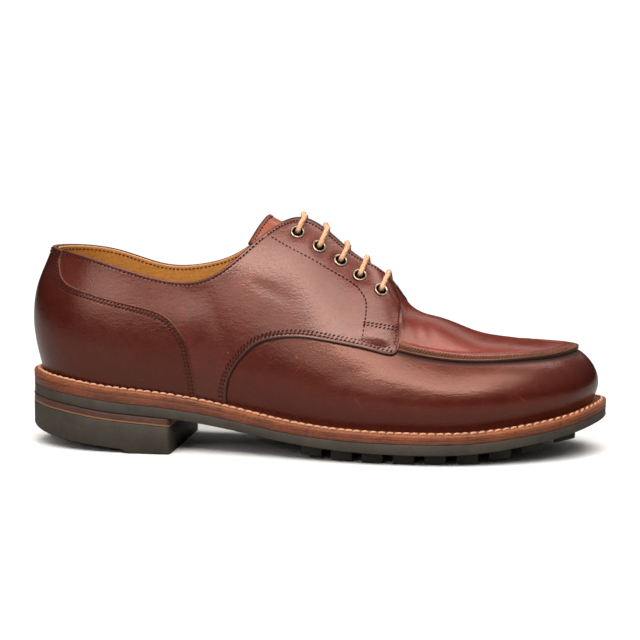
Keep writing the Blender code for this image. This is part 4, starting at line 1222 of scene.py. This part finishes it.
def sew_upper(counter, quarters, materials):
    """Rows along the panels' edges, the facing's line and the bars under it."""
    dark, red = [], []
    for distance in COUNTER_ROWS:
        path = inset(counter, distance)[4:-4]
        dark.append(sewn_row(path, COUNTER_RISE - 0.05, COUNTER_STITCH))
    for side, quarter in zip(BOTH_SIDES, quarters):
        low = smooth_places(quarter.low, 150)
        front = smooth_places(quarter.front[::3], 60)
        edge = smooth_places(np.concatenate([low[:-1], front]), 220)
        turn = int(np.argmin(np.linalg.norm(edge - low[-6], axis=1)))
        first_row = inset(edge, side * 2.2)[:turn]
        second_row = inset(low[:-8], side * 3.7)
        front_row = inset(edge, side * 2.4)[turn + 3:-3]
        top = inset(quarter.top, -side * 1.7)
        facing = smooth_places(locate(FACING_LINE, side), 60)
        dark.append(sewn_row(first_row, QUARTER_RISE, LOW_STITCH, side))
        red.append(sewn_row(front_row, QUARTER_RISE + 0.05, FRONT_STITCH, flap=side))
        dark.append(sewn_row(second_row, QUARTER_RISE, SECOND_STITCH, side))
        dark.append(sewn_row(top[3:COLLAR_END], QUARTER_RISE, COLLAR_STITCH))
        red.append(sewn_row(top[COLLAR_END:-4], QUARTER_RISE, THROAT_STITCH, flap=side))
        dark.append(sewn_row(facing, QUARTER_RISE, FACING_STITCH, flap=side))
        for marks in BAR_LINES:
            bar = smooth_places(locate(marks, side), 20)
            dark.append(sewn_row(bar, QUARTER_RISE, BAR_STITCH, side, side))
    sew("upper_stitches_dark", dark, materials["dark_thread"])
    sew("upper_stitches_red", red, materials["red_thread"])


def sew_apron(seam, material):
    """Slanting stitches over the rough band inside the apron's lip."""
    path = inset(seam, 2.6)
    rise = APRON_RISE + 1.05 * lip_growth(points_at(path)[:, 0]) - 0.2
    sew("apron_stitches", [sewn_row(path, rise, APRON_STITCH)], material)


def sew_lining(material):
    """Row inside the collar, on the lining."""
    path = inset(level_places(np.linspace(-150.0, 150.0, 240), ROW_TOP), -1.8)
    points = skin(path[:, 0], path[:, 1], np.full(len(path), -UPPER_WALL))
    row = stitches(points, -normals_at(path), LINING_STITCH)
    sew("lining_stitches", [row], material)


# Sole and heel
SOLE_STEPS = 121
SQUARE_STEPS = 72
SOLE_INNER = -12.0
CORNER_RADIUS = 2.2
LAYER_GAP = 0.1
WELT_STITCH_REACH = 4.7
OUTLINE_STEP = 0.3


def outline(reach, along):
    """Plan outline of the sole at a distance outside the feather edge, lateral and medial sides."""
    sides = []
    for lateral in (True, False):
        steps = (-OUTLINE_STEP, 0.0, OUTLINE_STEP)
        behind, place, ahead = [side_line(FEATHER, along + step, lateral)[:, :2] for step in steps]
        run = normalized(ahead - behind)
        out = np.column_stack([run[:, 1], -run[:, 0]])
        sides.append(place + reach * (out if lateral else -out))
    for end in (0, -1):
        sides[0][end] = sides[1][end] = 0.5 * (sides[0][end] + sides[1][end])
    return sides


def square_front(line, last_x):
    """One side of the outline, cut off square in front with a rounded corner."""
    start = last_x - CORNER_RADIUS
    edge = np.interp(start, line[:, 0], line[:, 1])
    inside = edge - math.copysign(CORNER_RADIUS, edge)
    turn = np.linspace(0.0, 0.5 * math.pi, 7)
    x = start + CORNER_RADIUS * np.sin(turn)
    corner = np.column_stack([x, inside + (edge - inside) * np.cos(turn)])
    kept = np.vstack([line[line[:, 0] < start - 0.5], corner])
    run = lengths(kept)
    return read_along(np.linspace(0.0, run[-1], SQUARE_STEPS), run, kept)


def sole_ring(reach, last_x):
    """Outline of a layer of the sole, closed round the toe or open at a square front."""
    lateral, medial = outline(reach, TOE * 0.5 * (1.0 - np.cos(np.linspace(0.0, math.pi, SOLE_STEPS))))
    if last_x is None:
        return np.vstack([lateral, medial[-2:0:-1]])
    return np.vstack([square_front(lateral, last_x)[::-1], square_front(medial, last_x)[1:]])


def cap_faces(ring, closed):
    """Faces across a ring of vertex numbers, from its start to its far end."""
    back = np.roll(ring[::-1], 1) if closed else ring[::-1]
    faces = []
    for k in range(len(ring) // 2):
        face = list(dict.fromkeys([ring[k], ring[k + 1], back[k + 1], back[k]]))
        if len(face) > 2:
            faces.append([int(corner) for corner in face])
    return faces


def sole_layer(node, name, top, bottom, reach, bevels, material, last_x=None, waist=0.0):
    """Layer of the sole or heel with rounded edges; last_x cuts it off square in front."""
    high, low = bevels
    upper = [(SOLE_INNER, 0.0), (-high * 2.2, 0.0), (-high, 0.14 * high), (-high * 0.3, 0.45 * high),
             (0.0, high)]
    lower = [(0.0, low), (-low * 0.4, 0.25 * low), (-low * 1.6, 0.0), (SOLE_INNER, 0.0)]
    loops = []
    for inward, drop in upper:
        ring = sole_ring(reach + inward, last_x)
        loops.append(np.column_stack([ring, top(ring[:, 0]) - drop]))
    ring = sole_ring(reach - waist, last_x)
    loops.append(np.column_stack([ring, 0.5 * (top(ring[:, 0]) + bottom(ring[:, 0]))]))
    for inward, rise in lower:
        ring = sole_ring(reach + inward, last_x)
        loops.append(np.column_stack([ring, bottom(ring[:, 0]) + rise]))
    loops = np.array(loops)
    layers, count = loops.shape[:2]
    index = np.arange(layers * count).reshape(layers, count)
    closed = last_x is None
    faces = ring_faces(index) if closed else grid_faces(layers, count)
    for ring in (index[0], index[-1]):
        faces += cap_faces(ring, closed)
    if not closed:
        faces.append(np.concatenate([index[:, 0], index[::-1, -1]]).tolist())
    line = np.zeros((layers, count))
    line[-4:-1] = 1.0
    item = add_piece(name, loops.reshape(-1, 3), faces, material, {"line": line.ravel()}, 60.0)
    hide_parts(node)


def lug_bottom(x):
    """Height of the lugs' lower face, which rises towards the toe."""
    return max(0.0, LUG_TAPER * (float(rubber_bottom(x)) - LUG_HEIGHT))


def lug_spans(low_y, high_y):
    """Widths of the blocks in one row: two at the sides and one between them where there is room."""
    width = high_y - low_y
    middle = width - 2 * (LUG_SIDE_WIDTH + LUG_CHANNEL)
    if middle > LUG_CHANNEL:
        inner = low_y + LUG_SIDE_WIDTH + LUG_CHANNEL
        return [(low_y, low_y + LUG_SIDE_WIDTH), (inner, inner + middle), (high_y - LUG_SIDE_WIDTH, high_y)]
    half = 0.5 * (width - LUG_CHANNEL)
    return [(low_y, low_y + half), (high_y - half, high_y)]


def lug_blocks(material):
    """Rows of bevelled blocks under the forefoot."""
    lateral, medial = outline(SOLE_REACH - LUG_EDGE_INSET, np.linspace(0.0, TOE, 300))
    form = bmesh.new()
    for row in range(LUG_ROWS):
        back = LUG_FIRST_X + row * LUG_PITCH
        front = back + LUG_LENGTH
        low_y = max(np.interp(x, lateral[:, 0], lateral[:, 1]) for x in (back, front))
        high_y = min(np.interp(x, medial[:, 0], medial[:, 1]) for x in (back, front))
        for y0, y1 in lug_spans(low_y, high_y):
            for vertex in bmesh.ops.create_cube(form, size=1.0)["verts"]:
                x = back if vertex.co.x < 0 else front
                y = y0 if vertex.co.y < 0 else y1
                z = lug_bottom(x) if vertex.co.z < 0 else float(rubber_bottom(x)) + LUG_SINK
                vertex.co = Vector((x, y, z)) * MM
    bmesh.ops.bevel(form, geom=form.edges[:], offset=LUG_BEVEL * MM, segments=2, affect="EDGES",
                    profile=0.6)
    mesh = bpy.data.meshes.new("outsole_lugs")
    form.to_mesh(mesh)
    form.free()
    place_mesh(mesh, material, 40.0)


def below(height, drop):
    """Height line a set distance under another one."""
    return lambda x: height(x) - drop


def make_sole(materials):
    """Layers of the sole and heel from the welt down, the lugs, and the bed inside."""
    sole_layer("welt", "welt_layer", welt_top, below(welt_top, WELT_THICK), SOLE_REACH, (1.1, 0.1),
               materials["welt"])
    sole_layer("midsole", "midsole_layer", below(welt_top, WELT_THICK + LAYER_GAP), leather_bottom,
               SOLE_REACH, (0.12, 0.3), materials["midsole"], waist=0.15)
    sole_layer("outsole", "outsole_layer", below(leather_bottom, LAYER_GAP), rubber_bottom,
               SOLE_REACH - 0.05, (0.25, 0.7), materials["outsole"], waist=0.2)
    lug_blocks(materials["lug"])
    sole_layer("heel_rand", "heel_rand_layer", below(rubber_bottom, LAYER_GAP),
               below(rubber_bottom, RAND_THICK), HEEL_REACH, (0.25, 0.45), materials["rand"],
               HEEL_BREAST, 0.15)
    sole_layer("heel_block", "heel_block_layer", below(rubber_bottom, RAND_THICK + LAYER_GAP), heel_bottom,
               HEEL_REACH, (0.25, 0.9), materials["heel"], HEEL_BREAST)
    sole_layer("insole", "insole_bed", below(welt_top, -(GAP + INSOLE_THICK)), below(welt_top, -GAP),
               -(UPPER_WALL + GAP), (0.5, 0.3), materials["insole"])


def sew_welt(material):
    """Thick pale stitches on top of the welt, all round the shoe."""
    lateral, medial = outline(WELT_STITCH_REACH, np.linspace(0.0, TOE, 400))
    ring = np.vstack([lateral, medial[-2::-1]])
    points = np.column_stack([ring, welt_top(ring[:, 0]) + 0.15])
    up = np.tile([0.0, 0.0, 1.0], (len(points), 1))
    row = stitches(points, up, WELT_STITCH)
    sew("welt_stitches", [row], material)


# Tongue, eyelets and lace
TONGUE_DEPTH = 4.6
TONGUE_END_DEPTH = 0.9
TONGUE_THICK = 2.0
TONGUE_TIP = Mark(-25.4, 122.6)
TONGUE_TIP_HALF = 15.0
TONGUE_TIP_DROP = 14.0
TONGUE_TIP_BACK = 8.3
TONGUE_SEAM = 2.6


def tongue_piece(materials):
    """Tongue under the facings, its sewn top edge standing out above the collar."""
    along = np.linspace(KNOTS[INSTEP] - 2.0, RIDGE + 2.0, 46)
    depth = np.interp(along, [RIDGE - 14.0, RIDGE - 4.0], [TONGUE_DEPTH, TONGUE_END_DEPTH])
    sides = []
    for side in BOTH_SIDES:
        s, row = np.meshgrid(side * along, np.linspace(2.46, 2.97, 12), indexing="ij")
        sides.append(skin(s, row, np.broadcast_to(-depth[:, None], s.shape)))
    lateral, medial = sides
    part = np.linspace(0.0, 1.0, 8)[1:-1]
    middle = lateral[:, -1:] + (medial[:, -1:] - lateral[:, -1:]) * part[None, :, None]
    section = np.concatenate([lateral, middle, medial[:, ::-1]], axis=1)
    across = section[0, :, 1] - SIDE_SHIFT
    across = across * TONGUE_TIP_HALF / np.max(np.abs(across))
    share = np.abs(across) / TONGUE_TIP_HALF
    tip = np.column_stack([TONGUE_TIP.x - TONGUE_TIP_BACK * share ** 1.5, SIDE_SHIFT + across,
                           TONGUE_TIP.z - TONGUE_TIP_DROP * share ** 1.8])
    rear = tip + np.linspace(0.0, 1.0, 16)[:-1, None, None] * (section[0] - tip)
    grid = np.concatenate([rear, section], axis=0)
    out = normalized(np.cross(np.gradient(grid, axis=0), np.gradient(grid, axis=1)))
    out *= np.sign(out[:, out.shape[1] // 2, 2])[:, None, None]
    edges = (grid[:1], grid[:, :1], grid[:, -1:])
    nearest = np.min([np.linalg.norm(grid - edge, axis=2) for edge in edges], axis=0)
    roll = 0.7 * bell(nearest - 1.2, 1.0) - rounded(nearest, 0.9)
    points, faces = slab(grid - TONGUE_THICK * out, grid + roll[..., None] * out)
    cut = both_faces(bell(nearest, 1.6))
    attributes = {"cut": cut, "edge_burnish_and_ring_shade": cut, "foot": np.zeros(cut.size)}
    item = add_piece("tongue_panel", points, faces, materials["tongue"], attributes)
    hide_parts("tongue")
    seam = (tip + TONGUE_SEAM * normalized(section[0] - tip) + 0.15 * out[1])[2:-2]
    share = np.linspace(0.0, 1.0, len(seam))
    normals = read_along(np.linspace(0.0, 1.0, 90), share, out[1, 2:-2])
    row = stitches(smooth_line(seam, 90), normals, TONGUE_STITCH)
    sew("tongue_stitches", [row], materials["dark_thread"])


def eyelet_piece(name, place, material):
    """Turned metal ring with a rolled rim, its barrel going down through the facing."""
    bore, flange, low = EYELET_BORE, EYELET_FLANGE, EYELET_DEPTH
    profile = [
        (bore, low), (bore, -0.7), (bore + 0.15, -0.1), (bore + 0.4, 0.3), (bore + 0.7, 0.55),
        (bore + 0.95, 0.58), (flange - 0.15, 0.35), (flange, 0.05), (flange - 0.1, -0.25),
        (bore + 0.4, -0.25), (bore + 0.4, low),
    ]
    turn = np.linspace(0.0, 2 * math.pi, EYELET_SIDES, endpoint=False)
    axes = np.array(Vector(place.direction).to_track_quat("Z", "Y").to_matrix())
    flat = np.column_stack([np.cos(turn), np.sin(turn)])
    rings = [np.column_stack([radius * flat, np.full(EYELET_SIDES, height)]) for radius, height in profile]
    points = np.concatenate(rings) @ axes.T + place.centre
    index = np.arange(len(points)).reshape(len(profile), EYELET_SIDES)
    faces = ring_faces(np.vstack([index, index[:1]]))
    # Painted shade on the inner faces of the bore.
    inside = [float(height < 0.2 and radius < bore + 0.3) for radius, height in profile]
    hole_shade = np.repeat(inside, EYELET_SIDES)
    item = add_piece("ring_" + name, points, faces, material, {"hole_shade": hole_shade}, 60.0)
    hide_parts("eyelet_" + name)


def punch(item, places):
    """Cuts the eyelet holes through a panel."""
    radius = EYELET_HOLE * MM
    form = bmesh.new()
    for place in places:
        turn = Vector(place.direction).to_track_quat("Z", "Y").to_matrix().to_4x4()
        matrix = Matrix.Translation(Vector(place.centre) * MM) @ turn
        bmesh.ops.create_cone(form, cap_ends=True, segments=24, radius1=radius, radius2=radius,
                              depth=PUNCH_DEPTH * MM, matrix=matrix)
    mesh = bpy.data.meshes.new("punch")
    form.to_mesh(mesh)
    form.free()
    cutter = bpy.data.objects.new("punch", mesh)
    bpy.context.scene.collection.objects.link(cutter)
    cut = item.modifiers.new("holes", "BOOLEAN")
    cut.operation = "DIFFERENCE"
    cut.solver = "EXACT"
    cut.object = cutter
    graph = bpy.context.evaluated_depsgraph_get()
    made = bpy.data.meshes.new_from_object(item.evaluated_get(graph))
    item.modifiers.clear()
    item.data = made
    bpy.data.objects.remove(cutter, do_unlink=True)


def bar_route(start, end):
    """Lace from inside one eyelet, out over the throat's edge and across, and into the eyelet opposite."""
    half = []
    for place, lean in ((start, LACE_LEAN), (end, LACE_BACK)):
        part = np.linspace(0.0, 1.0, 4)[1:]
        rows = place.row + (ROW_TOP - place.row) * part
        over = skin(place.s + lean * part, rows, np.full(3, QUARTER_RISE + LACE_RADIUS))
        climb = over[0] - place.centre
        climb = EYELET_PLAY * normalized(climb - np.dot(climb, place.direction) * place.direction)
        inside = place.centre - (QUARTER_RISE + LACE_INSIDE) * place.direction
        mouth = place.centre + climb + 0.3 * place.direction
        half.append([inside, mouth, *over])
    middle = 0.5 * (half[0][-1] + half[1][-1]) - np.array([0.0, 0.0, LACE_DIP])
    return np.array([*half[0], middle, *reversed(half[1])])


def inside_route(run, places):
    """Hidden run of the lace under the facing, from one eyelet to another on the same side."""
    first, second = places[run.first - 1], places[run.second - 1]
    part = np.linspace(0.0, run.part, 9)
    s = first.s + (second.s - first.s) * part
    row = first.row + (second.row - first.row) * part + run.sag * bulge(part)
    return skin(s, row, np.full(9, -LACE_INSIDE))


def tube(route):
    """Points, faces and painted shade inside the eyelets of a twisted cord along a smooth route."""
    line = smooth_line(route, max(16, int(lengths(route)[-1] / LACE_STEP)))
    ahead = normalized(np.gradient(line, axis=0))
    side = np.zeros_like(line)
    guess = np.cross(ahead[0], [1.0, 0.0, 0.0])
    for k, direction in enumerate(ahead):
        guess = normalized(guess - direction * np.dot(guess, direction))
        side[k] = guess
    up = np.cross(ahead, side)
    run = lengths(line)
    turn = np.linspace(0.0, 2 * math.pi, LACE_SIDES, endpoint=False)
    phase = LACE_STRANDS * turn[None] - 2 * math.pi * run[:, None] / LACE_TWIST
    size = LACE_RADIUS * (1.0 + 2.0 * LACE_RELIEF * (np.abs(np.cos(phase / 2.0)) - 1.0))
    round_it = np.cos(turn)[:, None] * side[:, None] + np.sin(turn)[:, None] * up[:, None]
    points = line[:, None] + size[..., None] * round_it
    index = np.arange(len(line) * LACE_SIDES).reshape(len(line), LACE_SIDES)
    faces = ring_faces(index) + [index[0].tolist(), index[-1].tolist()]
    from_end = np.minimum(run, run[-1] - run)
    # Painted shade on the cord where it runs into the eyelets.
    hole_shade = np.repeat(clip01((LACE_SUNK - from_end) / LACE_FADE), LACE_SIDES)
    return points.reshape(-1, 3), faces, hole_shade


def make_lacing(quarters, lining, materials):
    """Eyelets, the bars between them, and the runs that join the bars out of sight."""
    for side, quarter in zip(BOTH_SIDES, quarters):
        for k, place in enumerate(EYELETS[side], start=1):
            eyelet_piece(f"{SIDE_NAMES[side]}_{k}", place, materials["eyelet"])
        punch(quarter.item, EYELETS[side])
        punch(lining, EYELETS[side])
    for k, (start, end) in enumerate(zip(EYELETS[LATERAL], EYELETS[MEDIAL]), start=1):
        points, faces, hole_shade = tube(bar_route(start, end))
        lace = add_piece(f"lace_run_{k}", points, faces, materials["lace"],
                         {"hole_shade": hole_shade}, 70.0)
        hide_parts(f"lace_bar_{k}")
    hidden = [tube(inside_route(run, EYELETS[run.side]))[:2] for run in INSIDE_RUNS]
    sew("lace_inside_runs", hidden, materials["lace"])


# Floor and light
FLOOR_HALF = 2.5
FLOOR_NEAR, FLOOR_FAR = 0.35, 0.9
FLOOR_WHITE = (0.95, 0.95, 0.95, 1.0)
FLOOR_BOUNCE = (0.24, 0.24, 0.24, 1.0)
FLOOR_MIRRORED = (0.42, 0.42, 0.42, 1.0)
WHITE = {"Color": (1.0, 1.0, 1.0, 1.0), "Strength": 1.05}
DOME_COLOUR = (1.0, 0.98, 0.96, 1.0)
LIGHT_COLOUR = (1.0, 0.96, 0.92)
LIGHT_TARGET = (0.0, 0.0, 0.06)
AreaLight = namedtuple("AreaLight", "name place size power")
LIGHTS = [
    AreaLight("key", (0.15, -0.68, 1.2), (1.5, 0.5), 12.0),
    AreaLight("top", (0.1, 0.42, 1.25), (1.6, 0.6), 11.0),
    AreaLight("front", (0.0, -1.0, 0.95), (1.5, 0.3), 12.5),
    AreaLight("fill", (-0.5, -1.1, 0.5), (0.8, 0.3), 2.2),
    AreaLight("rim", (0.1, 1.3, 0.75), (1.6, 0.25), 1.2),
]


def make_floor():
    """White floor that fades into the background away from the shoe and throws little light back at it."""
    mesh = bpy.data.meshes.new("floor")
    signs = ((-1, -1), (1, -1), (1, 1), (-1, 1))
    mesh.from_pydata([(x * FLOOR_HALF, y * FLOOR_HALF, 0.0) for x, y in signs], [], [(0, 1, 2, 3)])
    floor = bpy.data.objects.new("floor", mesh)
    material, nodes, coords = new_material("floor_paper")
    paper = nodes.dress(Base_Color=FLOOR_WHITE, Roughness=0.95, Specular_IOR_Level=0.0)
    away = nodes.spread(nodes.length(coords), FLOOR_NEAR, FLOOR_FAR)
    seen = nodes.mix_shaders(away, paper, nodes.put("Emission", WHITE))
    path = nodes.put("LightPath").outputs
    grey = nodes.mix(path["Is Glossy Ray"], FLOOR_BOUNCE, FLOOR_MIRRORED)
    dull = nodes.put("BsdfDiffuse", {"Color": grey})
    nodes.show(nodes.mix_shaders(path["Is Camera Ray"], dull, seen), "Material Output")
    mesh.materials.append(material)
    bpy.context.scene.collection.objects.link(floor)


def make_world():
    """Studio dome, bright overhead and dim at the horizon, with a white background."""
    world = bpy.data.worlds.new("studio")
    bpy.context.scene.world = world
    world.use_nodes = True
    nodes = Nodes(world.node_tree)
    parts = nodes.put("SeparateXYZ", {0: nodes.put("TexCoord").outputs["Generated"]}).outputs
    rise = nodes.spread(parts["Z"], 0.15, 0.85, 0.04, 0.65)
    strength = nodes.times(rise, nodes.spread(parts["Y"], -0.6, 0.6, 1.0, 0.45))
    dome = nodes.put("Background", {"Color": DOME_COLOUR, "Strength": strength})
    seen = nodes.put("LightPath").outputs["Is Camera Ray"]
    nodes.show(nodes.mix_shaders(seen, dome, nodes.put("Background", WHITE)), "World Output")


def make_lights():
    """Soft boxes, all aimed at the shoe."""
    for light in LIGHTS:
        data = bpy.data.lights.new(light.name, "AREA")
        data.shape = "RECTANGLE"
        data.size, data.size_y = light.size
        data.energy = light.power
        data.color = LIGHT_COLOUR
        item = bpy.data.objects.new(light.name, data)
        item.location = light.place
        aim = Vector(LIGHT_TARGET) - Vector(light.place)
        item.rotation_euler = aim.to_track_quat("-Z", "Y").to_euler()
        bpy.context.scene.collection.objects.link(item)


make_camera()
materials = make_materials()
make_sole(materials)
sew_welt(materials["welt_thread"])
vamp_panel(materials["vamp"])
apron_seam = apron_panel(materials["apron"])
counter_outline = counter_panel(materials["counter"])
quarters = [quarter_panel(side, materials["quarter"]) for side in BOTH_SIDES]
lining = lining_shell(materials["lining"])
tongue_piece(materials)
sew_upper(counter_outline, quarters, materials)
sew_apron(apron_seam, materials["seam"])
sew_lining(materials["lining_thread"])
make_lacing(quarters, lining, materials)
make_floor()
make_world()
make_lights()
bpy.context.scene.view_settings.view_transform = "Standard"
